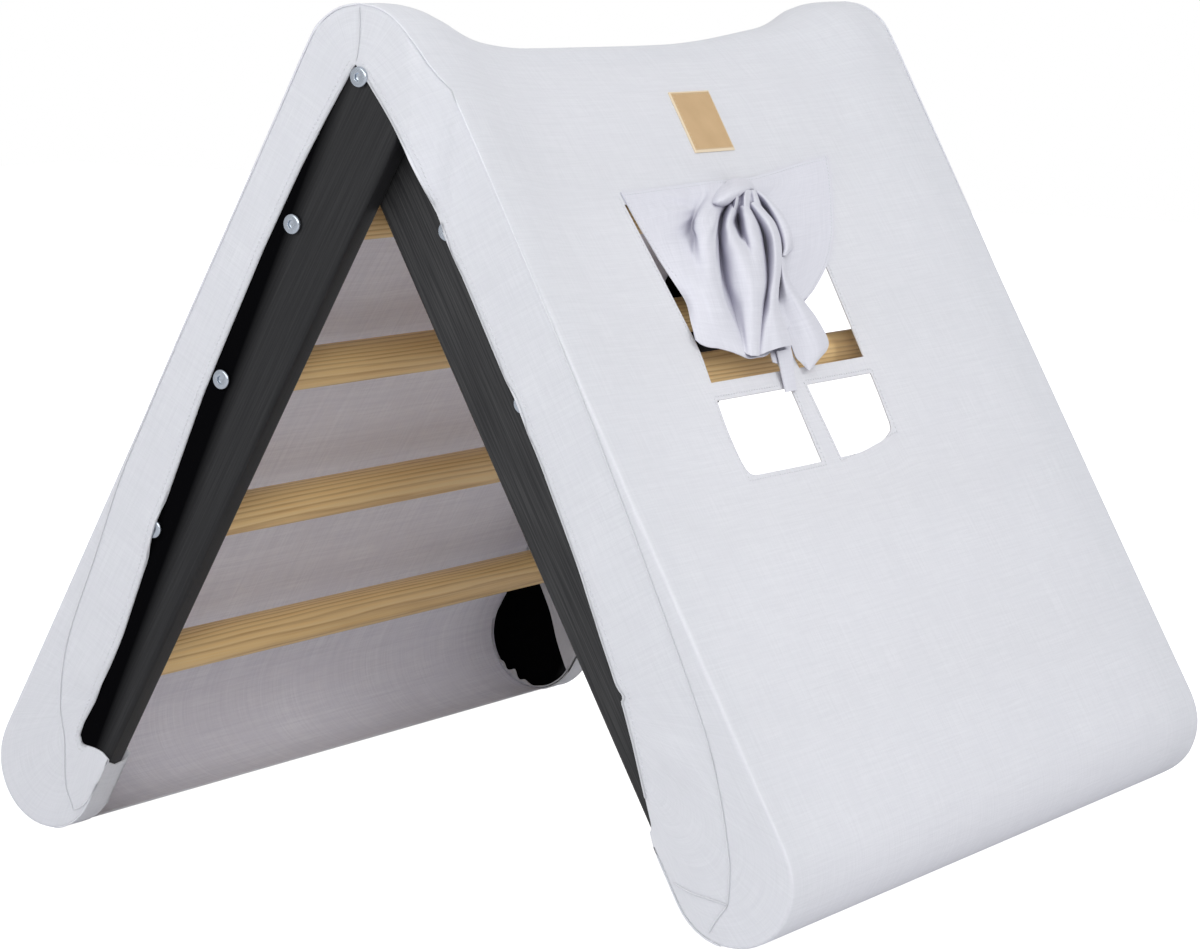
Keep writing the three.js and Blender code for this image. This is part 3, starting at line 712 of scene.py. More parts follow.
# %% How the roof of the cover stands
def through(points, steps):
    """A smooth curve through the points, with the same number of steps for each span."""
    points = np.asarray(points, dtype=float)
    padded = np.vstack([2 * points[0] - points[1], points, 2 * points[-1] - points[-2]])
    curve = []
    for k in range(len(points) - 1):
        a, b, c, d = padded[k:k + 4]
        for t in np.linspace(0, 1, steps, endpoint=False):
            curve.append(0.5 * (2 * b + (c - a) * t + (2 * a - 5 * b + 4 * c - d) * t * t
                                + (3 * b - a - 3 * c + d) * t ** 3))
    return np.vstack(curve + [points[-1:]])


CREST_LINE = through([(-330, 1), (-287, 1), (-265, 0.88), (-242, 0.63), (-219, 0.40),
                      (-196, 0.22), (-172, 0.10), (-148, 0.025), (-124, 0), (0, 0), (59, 0.02),
                      (87, 0.06), (115, 0.12), (144, 0.21), (174, 0.32), (204, 0.44), (234, 0.66),
                      (262, 0.93), (290, 1), (330, 1)], 6)


def ridge_rise(y):
    """The share of the way from the saddle up to the boards' height, along the tent."""
    return np.interp(y, CREST_LINE[:, 0] * MM, CREST_LINE[:, 1])


def crest_radius(y):
    return RIDGE + (CREST - RIDGE) * ridge_rise(y)


def stand_off(down, y):
    crest = crest_radius(y)
    fade = 1 - (1 - np.clip(down / LEG, 0, 1)) ** 1.6
    return crest + (FOOT - crest) * fade


OUTER_BOARD_CLEAR = 45.9 * MM
CORNER_STEP_SHARE = 0.45


def step_in(down, out):
    """How far the right-hand cloth lies behind the outer boards' plane."""
    past = down * sin(FOLDED) + out * cos(FOLDED)
    beyond_board = hypot(min(down, 0.0), out) - OUTER_BOARD_CLEAR
    corner = eased((down + 16 * MM) / (40 * MM)) * eased(beyond_board / (2.4 * MM))
    below_board = float(eased((past - 46 * MM) / (14 * MM)))
    return STEP * max(float(CORNER_STEP_SHARE * corner), below_board)


TOP_TURN = pi / 2 - LEAN
WRAP = radians(129)


def row_place(row, y):
    kind, value = row
    if kind == "crest":
        radius = crest_radius(y)
        return -radius * sin(value), radius * cos(value)
    if kind == "slope":
        return value, stand_off(value, y)
    if kind == "foot":
        return LEG + FOOT * sin(value), FOOT * cos(value)
    return value, -FOOT


def end_plane(side, end, down, out):
    depth = OUTER_FACE + REACH
    return depth - (step_in(down, out) if side == RIGHT and end == NEAR else 0.0)


# %% [markdown]
# The window's edges lean and curve a little, because they are cut in a cloth that sags. The
# grid's columns are led along those edges, so that whole faces can be left out for the four
# panes and the cross bars between them stay as cloth.

# %% Rows and columns of the grid, led along the window
WINDOW_LEFT_EDGE = [(118, -122), (235, -122), (300, -139), (320, -142), (345, -138), (420, -122)]
WINDOW_RIGHT_EDGE = [(118, 106), (333, 72), (420, 72)]
BAR_LOW_EDGE = [(260, -33), (274, -33), (332, -40), (420, -36)]
BAR_HIGH_EDGE = [(260, -9.5), (274, -10.5), (332, -14), (420, -12)]
WINDOW_EDGES = [np.array(edge).T for edge in
                (WINDOW_LEFT_EDGE, BAR_LOW_EDGE, BAR_HIGH_EDGE, WINDOW_RIGHT_EDGE)]
PANE_MARKS = (118, 260, 273.5, 332)


def window_columns(down):
    return [float(np.interp(down / MM, *edge)) * MM for edge in WINDOW_EDGES]


def window_sill(down, y):
    """How much the window's lower edge rises toward its far corner."""
    near_sill = float(eased((down - 285 * MM) / (45 * MM)) * eased((372 * MM - down) / (40 * MM)))
    return (6 * float(eased((y - 5 * MM) / (55 * MM)))
            + 7 * float(eased((y - 52 * MM) / (22 * MM)))) * MM * near_sill


COLUMN_STEPS = (12, 8, 2, 9, 14)
SEAM_STRIP = 3.5 * MM


def roof_columns(side, down, near_edge, far_edge):
    guides = window_columns(down if side == RIGHT else PANE_MARKS[0] * MM)
    marks = (-near_edge, *guides, far_edge)
    ys = [-near_edge, -near_edge + SEAM_STRIP]
    for part, steps in enumerate(COLUMN_STEPS):
        low = marks[part] if part else -near_edge + SEAM_STRIP
        high = marks[part + 1] if part < 4 else far_edge - SEAM_STRIP
        ys += [low + (high - low) * k / steps for k in range(1, steps + 1)]
    return ys + [far_edge]


WINDOW_LEFT = 1 + COLUMN_STEPS[0]
BAR_LOW = WINDOW_LEFT + COLUMN_STEPS[1]
BAR_HIGH = BAR_LOW + COLUMN_STEPS[2]
WINDOW_RIGHT = BAR_HIGH + COLUMN_STEPS[3]

crest_rows = [("crest", TOP_TURN * share) for share in (0.86, 0.72, 0.58, 0.44, 0.3, 0.15, 0)]
slope_mm = ([12, 26, 41, 56, 71, 87, 103, 118, 132, 147, 162, 177, 192, 207, 222, 236, 249,
             260, 273.5, 285, 297, 309, 321, 332, 345] + list(range(360, 565, 15)) + [572, 580])
slope_rows = [("slope", down * MM) for down in slope_mm]
foot_rows = [("foot", WRAP * k / 10) for k in range(1, 11)]
hook_rows = ([("foot", WRAP + (pi - WRAP) * k / 4) for k in range(1, 5)]
             + [("hook", (580 - 13 * k) * MM) for k in range(1, 4)])
one_side = crest_rows + slope_rows + foot_rows
WINDOW_TOP, BAR_TOP, BAR_BOTTOM, WINDOW_BOTTOM = (
    len(crest_rows) + slope_mm.index(mark) for mark in PANE_MARKS)
print("rows a side:", len(one_side), "columns a row:", 2 + sum(COLUMN_STEPS))


# %% Where the hems of the bands run, down the leg and out of its middle line
HEMS = {
    LEFT: [(0, 8.1), (35, 10.8), (78, 13), (144, 13.3), (216, 10.8), (261, 9), (311, 4.2),
           (356, 0), (391, -5.5), (456, -13.5), (511, -15), (530, -13.6), (540, -14.5),
           (545.5, -20), (541, -30), (538.5, -38), (540, -46.5)],
    RIGHT: [(0, 3.6), (12, 5.2), (24, 7), (36, 8.6), (44, 9.1), (66, 9.8), (74, 9.4), (80, 8),
            (87, 5.8), (100, 1.5), (106, -0.8), (113, -3), (120, -4.4), (133, -4.2), (150, -3.8),
            (209, -5.2), (230, -5.4), (241.5, -4.2), (253, -6), (281, -6.6), (321, -9.6),
            (359, -12.5), (403, -18.6), (444, -23), (474, -28.7), (528, -41), (532, -46.5)],
}
HEM_TIP = {LEFT: (-5.7, 7.2), RIGHT: (-9.1, 1.1)}
HEM_STRAIGHT = {LEFT: 500 * MM, RIGHT: 444 * MM}
HEM_TURN_POINTS = 4


def hem_down_leg(side, down):
    hem = np.array(HEMS[side][:1 - HEM_TURN_POINTS]) * MM
    return down, float(np.interp(down, *hem.T))


def hem_round_foot(side, share):
    """The hem at a share of its last stretch, from the end of its straight part."""
    hem = np.array(HEMS[side]) * MM
    start, turn = HEM_STRAIGHT[side], len(hem) - HEM_TURN_POINTS
    rest = [(start, float(np.interp(start, *hem[:turn].T)))]
    rest += [tuple(p) for k, p in enumerate(hem) if p[0] > start + 1 * MM or k >= turn]
    rest = np.array(rest)
    steps = np.hypot(*np.diff(rest, axis=0).T)
    reach = np.concatenate([[0], np.cumsum(steps)]) / steps.sum()
    return tuple(float(np.interp(share, reach, column)) for column in rest.T)


def hem_of_row(side, row):
    kind, value = row
    start = HEM_STRAIGHT[side]
    if kind == "crest":
        share = value / TOP_TURN
        return tuple((a + (b - a) * share) * MM for a, b in zip(HEMS[side][0], HEM_TIP[side]))
    if kind == "slope" and value <= start:
        return hem_down_leg(side, value)
    total = (LEG - start) + pi * FOOT + (LEG - HEMS[side][-1][0] * MM)
    travelled = {"slope": value - start, "foot": (LEG - start) + FOOT * value,
                 "hook": (LEG - start) + pi * FOOT + (LEG - value)}[kind]
    return hem_round_foot(side, min(travelled / total, 1.0))


# %% [markdown]
# Screw heads below the cloth lift it in low mounds. They are added to the bands' grid
# before the cloth gets its thickness.

# %% Build the grid of the cover
BAND_SHARES = [0, None, None, 0.32, 0.46, 0.6, 0.74, 0.87, 1]
HEAD_RADIUS = 7 * MM
MOUND_HEIGHT = 3.4 * MM
MOUND_SKIRT = 11 * MM


def mound(side, end, down, out):
    """The height of the cloth over covered screw heads. The far right band hangs free of them."""
    if (side, end) == (RIGHT, FAR):
        return 0.0
    rise = 0.0
    for place in RUNGS[2:] if side == LEFT else RUNGS:
        beyond_head = hypot(down - place, out) - HEAD_RADIUS
        rise += MOUND_HEIGHT * (1 - float(eased(beyond_head / MOUND_SKIRT)))
    return rise


def band_points(side, row, end):
    edge = OUTER_FACE + REACH
    corner = row_place(row, np.float64(end * edge))
    hem = hem_of_row(side, row)
    if side == RIGHT:
        hem = (hem[0], hem[1] + 0.75 * mound(side, end, *hem))
    width = hypot(corner[0] - hem[0], corner[1] - hem[1])
    points = []
    for count, share in enumerate(BAND_SHARES):
        if share is None:
            share = min(3.5 * MM / width, 0.12) if count == 1 else min(11 * MM / width, 0.24)
        down = corner[0] + (hem[0] - corner[0]) * share
        out = corner[1] + (hem[1] - corner[1]) * share
        depth = end_plane(side, end, down, out)
        if count:
            depth += mound(side, end, down, out)
        points.append(leg_point(side, down, out, end * depth))
    return points


def full_rows():
    rows = []
    for row in reversed(hook_rows):
        rows.append((LEFT, row, False))
    for row in reversed(one_side):
        rows.append((LEFT, row, True))
    rows.append((RIGHT, ("crest", TOP_TURN), True))
    for row in one_side:
        rows.append((RIGHT, row, True))
    for row in hook_rows:
        rows.append((RIGHT, row, False))
    return rows


def row_down(row):
    kind, value = row
    return value if kind == "slope" else (0.0 if kind == "crest" else LEG)


def cover_grid():
    grid = []
    rows = full_rows()
    for side, row, roofed in rows:
        near = band_points(side, row, NEAR)
        far = band_points(side, row, FAR)
        middle = []
        if roofed:
            down = row_down(row)
            for y in roof_columns(side, down, -near[0].y, far[0].y)[1:-1]:
                d, o = row_place(row, np.float64(y))
                if side == RIGHT and row[0] == "slope":
                    d = d - window_sill(down, y)
                middle.append(leg_point(side, float(d), float(o), y))
        grid.append((list(reversed(near)), middle, far))
    return rows, grid


rows, grid = cover_grid()
print("grid rows:", len(rows), "roof columns:", len(grid[40][1]) + 2)

# %% [markdown]
# The faces are laid from the grid, and those of the four panes are left out. The roof stops
# under the feet, while the bands go on round the boards' inner edges. Each face also gets a
# place on a flat cutting pattern in metres, its UV map, for the threads to follow.

# %% Lay the faces and the cutting pattern
def lay_cover(name):
    mesh = bmesh.new()
    uv = mesh.loops.layers.uv.new("cloth")
    made, flat = [], {}
    travel = 0.0
    last = None
    band_count = len(BAND_SHARES)
    for (side, row, roofed), (near, middle, far) in zip(rows, grid):
        corner = near[-1]
        if last is not None:
            travel += (corner - last).length
        last = corner
        line = []
        points = near + middle + far
        if not roofed:
            points = near + [None] * ROOF_INNER + far
        width = -sum((b - a).length for a, b in zip(near, near[1:]))
        previous = None
        for point in points:
            if point is None:
                line.append(None)
                width = 2 * OUTER_FACE
                previous = None
                continue
            vertex = mesh.verts.new(point)
            width += (point - previous).length if previous is not None else 0.0
            previous = point
            flat[vertex] = (width, travel)
            line.append(vertex)
        made.append(line)
    first_right = [i for i, (side, row, _) in enumerate(rows)
                   if side == RIGHT and row == ("crest", TOP_TURN)][0]
    base = band_count - 1
    panes = [(WINDOW_TOP, BAR_TOP), (BAR_BOTTOM, WINDOW_BOTTOM)]
    openings = [(WINDOW_LEFT, BAR_LOW), (BAR_HIGH, WINDOW_RIGHT)]
    for i in range(len(made) - 1):
        for j in range(len(made[0]) - 1):
            corners = (made[i][j], made[i][j + 1], made[i + 1][j + 1], made[i + 1][j])
            if None in corners:
                continue
            down_row = i - first_right - 1
            column = j - base
            in_pane = any(a <= down_row < b for a, b in panes)
            if in_pane and any(a <= column < b for a, b in openings):
                continue
            face = mesh.faces.new(corners)
            for loop in face.loops:
                loop[uv].uv = flat[loop.vert]
    mesh.verts.index_update()
    sharp = []
    for (top, bottom), rounded in zip(panes, (False, True)):
        for (left, right_edge), outer in zip(openings, (0, 1)):
            for row in (top, bottom):
                for edge, column in enumerate((left, right_edge)):
                    if rounded and row == bottom and edge == outer:
                        continue
                    sharp.append(made[row + first_right + 1][column + base].index)
    piece = piece_of(mesh, name)
    crease = piece.data.attributes.new("crease_vert", "FLOAT", "POINT")
    for index in sharp:
        crease.data[index].value = 1.0
    return piece


ROOF_INNER = len(grid[40][1])
cover = lay_cover("cover_cloth")
print("cover faces:", len(cover.data.polygons))


# %% [markdown]
# Subdivision rounds the cloth over the boards' corners. Then the cloth is given life in
# code: soft waves where it hangs free, tension folds that fan from the ridge's two ends,
# and small puckers along the corner seams. Last, Solidify gives it a real thickness.

# %% Shape the cover's slack and give it thickness
def soften_cloth(piece, levels):
    divide = piece.modifiers.new("soft", "SUBSURF")
    divide.levels = levels
    divide.render_levels = levels
    divide.boundary_smooth = "PRESERVE_CORNERS"
    apply_all(piece)


def waves(seed, *phases):
    return sum(np.sin(phase + seed * (k + 1.7)) for k, phase in enumerate(phases)) / len(phases)


def vertex_array(data, what):
    values = np.empty(len(data.vertices) * 3)
    data.vertices.foreach_get(what, values)
    return values.reshape(-1, 3)


def slacken(piece):
    data = piece.data
    co, normals = vertex_array(data, "co"), vertex_array(data, "normal")
    x, y, z = co.T
    side = np.where(x < 0, -1.0, 1.0)
    down = side * x * sin(LEAN) - (z - PIVOT) * cos(LEAN)
    out = side * x * cos(LEAN) + (z - PIVOT) * sin(LEAN)
    roof = np.abs(normals[:, 1]) < 0.5
    crest_y, foot_down, seam_y = 290 * MM, 560 * MM, 318 * MM
    free = eased((285 * MM - np.abs(y)) / (60 * MM)) * eased((out - 5 * MM) / (10 * MM))
    lower = eased(down / (120 * MM)) * eased((foot_down - down) / (120 * MM))
    gentle = (0.9 * waves(1.3, y * 21 + down * 9, y * 13 - down * 17, down * 11 + y * 4)
              + 0.5 * waves(4.1, y * 47 + down * 21, y * 39 - down * 31)) * MM
    fan = 0.0
    for end in (-1, 1):
        from_end = np.hypot(y - end * crest_y, down + 10 * MM)
        angle = np.arctan2(down + 10 * MM, end * (end * crest_y - y) + 1e-6)
        strength = np.exp(-((from_end - 110 * MM) / (90 * MM)) ** 2)
        fan = fan + 0.7 * MM * strength * np.sin(angle * 13 + end)
    beyond = np.maximum(np.abs(down - 150 * MM) - 120 * MM, np.abs(y - 15 * MM) - 150 * MM)
    calm = np.where(side > 0, eased(beyond / (60 * MM)), 1.0)
    offset = np.where(roof, (free * lower * gentle + free * fan) * calm, 0.0)
    pucker = np.exp(-((np.abs(y) - seam_y) / (7 * MM)) ** 2)
    offset = offset + np.where(roof, 0.18 * MM * pucker * np.sin(down * 520), 0.0)
    co += normals * offset[:, None]
    data.vertices.foreach_set("co", co.ravel())
    data.update()
    return float(np.abs(offset).max() / MM)


def thicken(piece, thickness, lining=0):
    solid = piece.modifiers.new("thickness", "SOLIDIFY")
    solid.thickness = thickness
    solid.offset = -1
    solid.use_rim = True
    solid.use_even_offset = False
    solid.material_offset = lining
    apply_all(piece)


def join(pieces, name):
    bare_selection()
    for piece in pieces:
        piece.select_set(True)
    bpy.context.view_layer.objects.active = pieces[0]
    if len(pieces) > 1:
        bpy.ops.object.join()
    pieces[0].name = name
    return pieces[0]


def face_up(piece):
    """Turns all the faces of a cloth on the right slope if its middle one looks down."""
    face = piece.data.polygons[len(piece.data.polygons) // 2]
    if face.normal.dot(ROOF_OUT) < 0:
        piece.data.flip_normals()


def face_outwards(piece, inside):
    """Turns all the faces if the first one points at the inside point."""
    face = piece.data.polygons[0]
    if (face.center - Vector(inside)).dot(face.normal) < 0:
        piece.data.flip_normals()


roof_face = max(cover.data.polygons, key=lambda face: face.center.z)
if roof_face.normal.z < 0:
    cover.data.flip_normals()
soften_cloth(cover, 1)
print("largest wave, mm:", round(slacken(cover), 2))
cover.data.materials.append(cover_cotton)
cover.data.materials.append(lightened_inner_cotton)
thicken(cover, CLOTH, lining=1)
smooth(cover, 60)
print("cover triangles:", sum(len(p.vertices) - 2 for p in cover.data.polygons))

# %% [markdown]
# The bands' hems are rolled and stitched, and a welt runs where the roof and the bands are sewn
# together. Rolls and welts are slim tubes along their own lines, told in each leg's terms, and
# are joined to the cover. Stitches are short spindles pressed onto whatever cloth they are on.

# %% Hem rolls, seam welts and stitches of the cover
SEAMS = {
    LEFT: [[(-42, 23.8), (-31, 36.9), (-16.6, 45.4), (0, 48.2), (60, 47.6), (150, 46.9),
            (230, 46.5), (295, 45.4), (354, 43.5), (417, 35.9), (486, 28), (530, 12.2),
            (553, -5.1), (580, -20.9), (593, -37)],
           [(593, -37), (586, -42), (574, -45.5), (560, -46.2)]],
    RIGHT: [[(-42, 23.8), (-31, 36.9), (-16.6, 45.4), (0, 48.4), (47, 48.2), (120, 47.4),
             (200, 46), (274, 43.3), (329, 39.9), (360, 37.9), (480, 27.9), (531, 17),
             (562, 6.6), (575, 1), (594, -10.6)],
            [(594, -10.6), (586, -21), (577, -33), (566, -43)],
            [(594, -10.6), (600, -24.5), (605, -33)]],
}
FOOT_EDGE = [(580 + 46.1 * sin(a), 46.1 * cos(a)) for a in np.linspace(WRAP, pi, 5)]
FOOT_EDGE += [(562, -46.1), (545, -46.1)]
MITRE = [(0, 46), (0, 30), (-1.2, 18), (-3, 10)]
WELT_LIFT = 0.1 * MM


def on_band(side, end, down, out, lift):
    depth = end_plane(side, end, down, out) + mound(side, end, down, out) + lift
    return leg_point(side, down, out, end * depth)


def tube(name, path, radius, sides=8):
    """A closed slim tube along a path, with a UV map in metres."""
    mesh = bmesh.new()
    uv = mesh.loops.layers.uv.new("cloth")
    rings, travel, gone = [], 0.0, []
    for k, point in enumerate(path):
        ahead = (path[min(k + 1, len(path) - 1)] - path[max(k - 1, 0)]).normalized()
        across = ahead.cross(Vector((0.31, 0.52, 0.79))).normalized()
        other = ahead.cross(across)
        travel += (point - path[k - 1]).length if k else 0.0
        gone.append(travel)
        thin = radius if 0 < k < len(path) - 1 else radius * 0.4
        rings.append([mesh.verts.new(point + thin * (cos(a) * across + sin(a) * other))
                      for a in (2 * pi * j / sides for j in range(sides))])
    for k in range(len(rings) - 1):
        for j in range(sides):
            n = (j + 1) % sides
            face = mesh.faces.new((rings[k][j], rings[k][n], rings[k + 1][n], rings[k + 1][j]))
            for loop, spot in zip(face.loops, ((k, j), (k, j + 1), (k + 1, j + 1), (k + 1, j))):
                loop[uv].uv = (radius * spot[1], gone[spot[0]])
    mesh.faces.new(rings[0][::-1])
    mesh.faces.new(rings[-1])
    bmesh.ops.recalc_face_normals(mesh, faces=mesh.faces)
    return piece_of(mesh, name)


def hem_line(side, end, inset, lift):
    """The hem of a band from the ridge to the foot, set in from the edge by a distance."""
    line = []
    for row in one_side[2:]:
        points = band_points(side, row, end)
        toward = (points[-2] - points[-1]).normalized()
        line.append(points[-1] + toward * inset + Vector((0, end * lift, 0)))
    return [Vector(p) for p in through([tuple(p) for p in line], 3)]


slim = []
for side in (LEFT, RIGHT):
    for end in (NEAR, FAR):
        slim.append(tube("hem_roll", hem_line(side, end, 0.6 * MM, -0.5 * MM), 1.0 * MM))
        for seam in [*SEAMS[side], FOOT_EDGE]:
            points = through([(d * MM, o * MM) for d, o in seam], 5)
            path = [on_band(side, end, d, o, WELT_LIFT) for d, o in points]
            slim.append(tube("welt", path, 0.75 * MM))
for end in (NEAR, FAR):
    points = through([(x * MM, z * MM) for x, z in MITRE], 4)
    y = end * (OUTER_FACE + REACH + WELT_LIFT)
    slim.append(tube("welt", [Vector((x, y, PIVOT + z)) for x, z in points], 0.6 * MM))
for piece in slim:
    piece.data.materials.append(cover_cotton)
    smooth(piece, 60)
print("hem rolls and welts:", len(slim))


# %% Stitches, pressed onto a cloth
STITCH_RAY_START, STITCH_RAY = 9 * MM, 22 * MM
STITCH_LIFT = 0.12 * MM


def tree_of(piece):
    data = piece.data
    return BVHTree.FromPolygons([v.co.copy() for v in data.vertices],
                                [tuple(p.vertices) for p in data.polygons])


def stitch_row(path, pitch=3.4 * MM):
    """Places along a path at an even pitch, with the way it runs there."""
    path = [Vector(p) for p in path]
    gone = [0.0]
    for a, b in zip(path, path[1:]):
        gone.append(gone[-1] + (b - a).length)
    count = int(gone[-1] / pitch)
    for k in range(count):
        at = (k + 0.5) * pitch
        i = max(j for j in range(len(gone) - 1) if gone[j] <= at)
        way = (path[i + 1] - path[i])
        yield path[i] + way * ((at - gone[i]) / max(way.length, 1e-9)), way.normalized()


def stitches(name, rows, cloth, outward, length=2.2 * MM, thick=0.34 * MM):
    """One object of spindles. outward(place) says which way the cloth's outside faces there."""
    tree = tree_of(cloth)
    mesh = bmesh.new()
    uv = mesh.loops.layers.uv.new("cloth")
    made = 0
    for path in rows:
        for place, way in stitch_row(path):
            normal = outward(place)
            spot = tree.ray_cast(place + normal * STITCH_RAY_START, -normal, STITCH_RAY)[0]
            if spot is None:
                continue
            side = way.cross(normal).normalized()
            centre = spot + normal * STITCH_LIFT
            rings = []
            for share, wide in ((-0.5, 0.25), (-0.32, 1), (0.32, 1), (0.5, 0.25)):
                middle = centre + way * length * share - normal * thick * (1 - wide)
                round_it = [cos(a) * side + sin(a) * normal for a in (pi / 3 * j for j in range(6))]
                rings.append([mesh.verts.new(middle + thick * wide * spoke) for spoke in round_it])
            for low, high in zip(rings, rings[1:]):
                for j in range(6):
                    n = (j + 1) % 6
                    face = mesh.faces.new((low[j], low[n], high[n], high[j]))
                    for loop, (u, v) in zip(face.loops, ((0, 0), (1, 0), (1, 3), (0, 3))):
                        loop[uv].uv = (made * 0.004 + u * thick, v * thick)
            mesh.faces.new(rings[0][::-1])
            mesh.faces.new(rings[-1])
            made += 1
    bmesh.ops.recalc_face_normals(mesh, faces=mesh.faces)
    print(name, "stitches:", made)
    return piece_of(mesh, name)


def on_roof(down, y, lift):
    """A place on the right slope, told in millimetres."""
    down, y, lift = down * MM, y * MM, lift * MM
    return leg_point(RIGHT, down, float(stand_off(down, y)) + lift, y)


hem_rows = [hem_line(side, end, 5 * MM, 0.0) for side in (LEFT, RIGHT) for end in (NEAR, FAR)]
hem_stitches = stitches("cover_hem_stitches", hem_rows, cover,
                        lambda place: Vector((0, 1 if place.y > 0 else -1, 0)))


def window_rows(inset):
    """Lines round each lower pane and up the window's two sides, on the roof."""
    rows = []
    left, bar_low, bar_high, far_side = (lambda down, e=e: float(np.interp(down, *e))
                                         for e in WINDOW_EDGES)
    for low, high in ((left, bar_low), (bar_high, far_side)):
        top, bottom = PANE_MARKS[2] - inset, PANE_MARKS[3] + inset
        loop = [(top, low(top) - inset), (300, low(300) - inset), (bottom, low(330) - inset),
                (bottom, high(330) + inset), (300, high(300) + inset), (top, high(top) + inset),
                (top, low(top) - inset)]
        placed = []
        for down, y in loop:
            lowered = down - window_sill(down * MM, y * MM) / MM
            placed.append(on_roof(lowered, y, 0.0))
        rows.append(placed)
    for line, sign in ((left, -1), (far_side, 1)):
        rows.append([leg_point(RIGHT, d * MM, float(stand_off(d * MM, line(d) * MM)),
                               (line(d) + sign * inset) * MM) for d in range(112, 262, 10)])
    return rows


window_stitches = stitches("window_stitches", window_rows(3.0), cover, lambda place: ROOF_OUT)
cover = join([cover, *slim], "cover_cloth")
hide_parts("cover_panel_left", "cover_panel_right", "cover_band_near_left",
            "cover_band_near_right", "cover_band_far_left", "cover_band_far_right")
for piece in (hem_stitches, window_stitches):
    finish_piece(piece, thread_cotton, "cover_cloth", None)
    smooth(piece, 60)
for piece in (cover, hem_stitches, window_stitches):
    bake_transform(piece)

# %% [markdown]
# ## Pieces draped by ribs
#
# The smaller cloth pieces are each laid over a few ribs. A rib is a list of points
# across the cloth, and each point is told as the pixel of the photo where it shows
# and its height above the right slope in millimetres. A smooth curve through the ribs'
# points in both directions makes the sheet, which then gets its thickness.

# %% A sheet drawn smoothly through its ribs
def sheet_mesh(name, grid_points):
    """A sheet over a grid of places, with its cutting pattern in metres as UV map."""
    rows, columns = len(grid_points), len(grid_points[0])
    places = [[Vector(p) for p in line] for line in grid_points]
    mesh = bmesh.new()
    uv = mesh.loops.layers.uv.new("cloth")
    made = [[mesh.verts.new(p) for p in line] for line in places]
    middle_row, middle = rows // 2, columns // 2
    across = [0.0]
    for j in range(1, columns):
        across.append(across[-1] + (places[middle_row][j] - places[middle_row][j - 1]).length)
    along = [0.0]
    for i in range(1, rows):
        along.append(along[-1] + (places[i][middle] - places[i - 1][middle]).length)
    for i in range(rows - 1):
        for j in range(columns - 1):
            spots = [(i, j), (i, j + 1), (i + 1, j + 1), (i + 1, j)]
            face = mesh.faces.new([made[a][b] for a, b in spots])
            for loop, (a, b) in zip(face.loops, spots):
                loop[uv].uv = (across[b], along[a])
    area = sum(face.calc_area() for face in mesh.faces)
    return piece_of(mesh, name), across[-1], along[-1], area


def seen_on_roof(px, py, lift):
    """The place at a height above the right slope that shows at a pixel of the photo."""
    middle_x, middle_y = 600, 475.5
    sight = forward + right * ((px - middle_x) / FOCUS_PX) - up * ((py - middle_y) / FOCUS_PX)
    start = camera.location - Vector((0, 0, PIVOT))
    out, halvings = 40 * MM, 26
    for _ in range(halvings):
        place = start + sight * ((out - ROOF_OUT.dot(start)) / ROOF_OUT.dot(sight))
        down = place.x * sin(LEAN) - place.z * cos(LEAN)
        out = 0.5 * out + 0.5 * (float(stand_off(down, place.y)) + lift * MM)
    return place + Vector((0, 0, PIVOT))


def ribbed_grid(ribs, across_steps=5, along_steps=6):
    lines = [through(rib, across_steps) for rib in ribs]
    columns = [through([line[j] for line in lines], along_steps) for j in range(len(lines[0]))]
    return [[columns[j][i] for j in range(len(columns))] for i in range(len(columns[0]))]


def declare(piece, size):
    across, along, area = size
    width, length = max(across, 0.0101), max(along, 0.0101)
    grow = max(1.0, area / (width * length))
    max(area, 0.31 * width * grow * length)


def drape(name, parts, thickness):
    made, size = [], [0, 0, 0]
    for count, ribs in enumerate(parts):
        placed = [[tuple(seen_on_roof(*p)) for p in rib] for rib in ribs]
        part, across, along, area = sheet_mesh(f"{name}_{count}", ribbed_grid(placed))
        made.append(part)
        size = [size[0] + across, max(size[1], along), size[2] + area]
    piece = join(made, name)
    face_up(piece)
    thicken(piece, thickness)
    smooth(piece, 60)
    return piece, size


# %% [markdown]
# ## The curtain
#
# The curtain is a second cloth, sewn on above the window. Its lower half is bunched in the
# middle and tied up, so the left part hangs as a full fold and the right part is pulled
# almost flat. The heights in its ribs tell that fold, which is steep on the side that faces
# the tent's open end, and small pleats fan out from the knot.

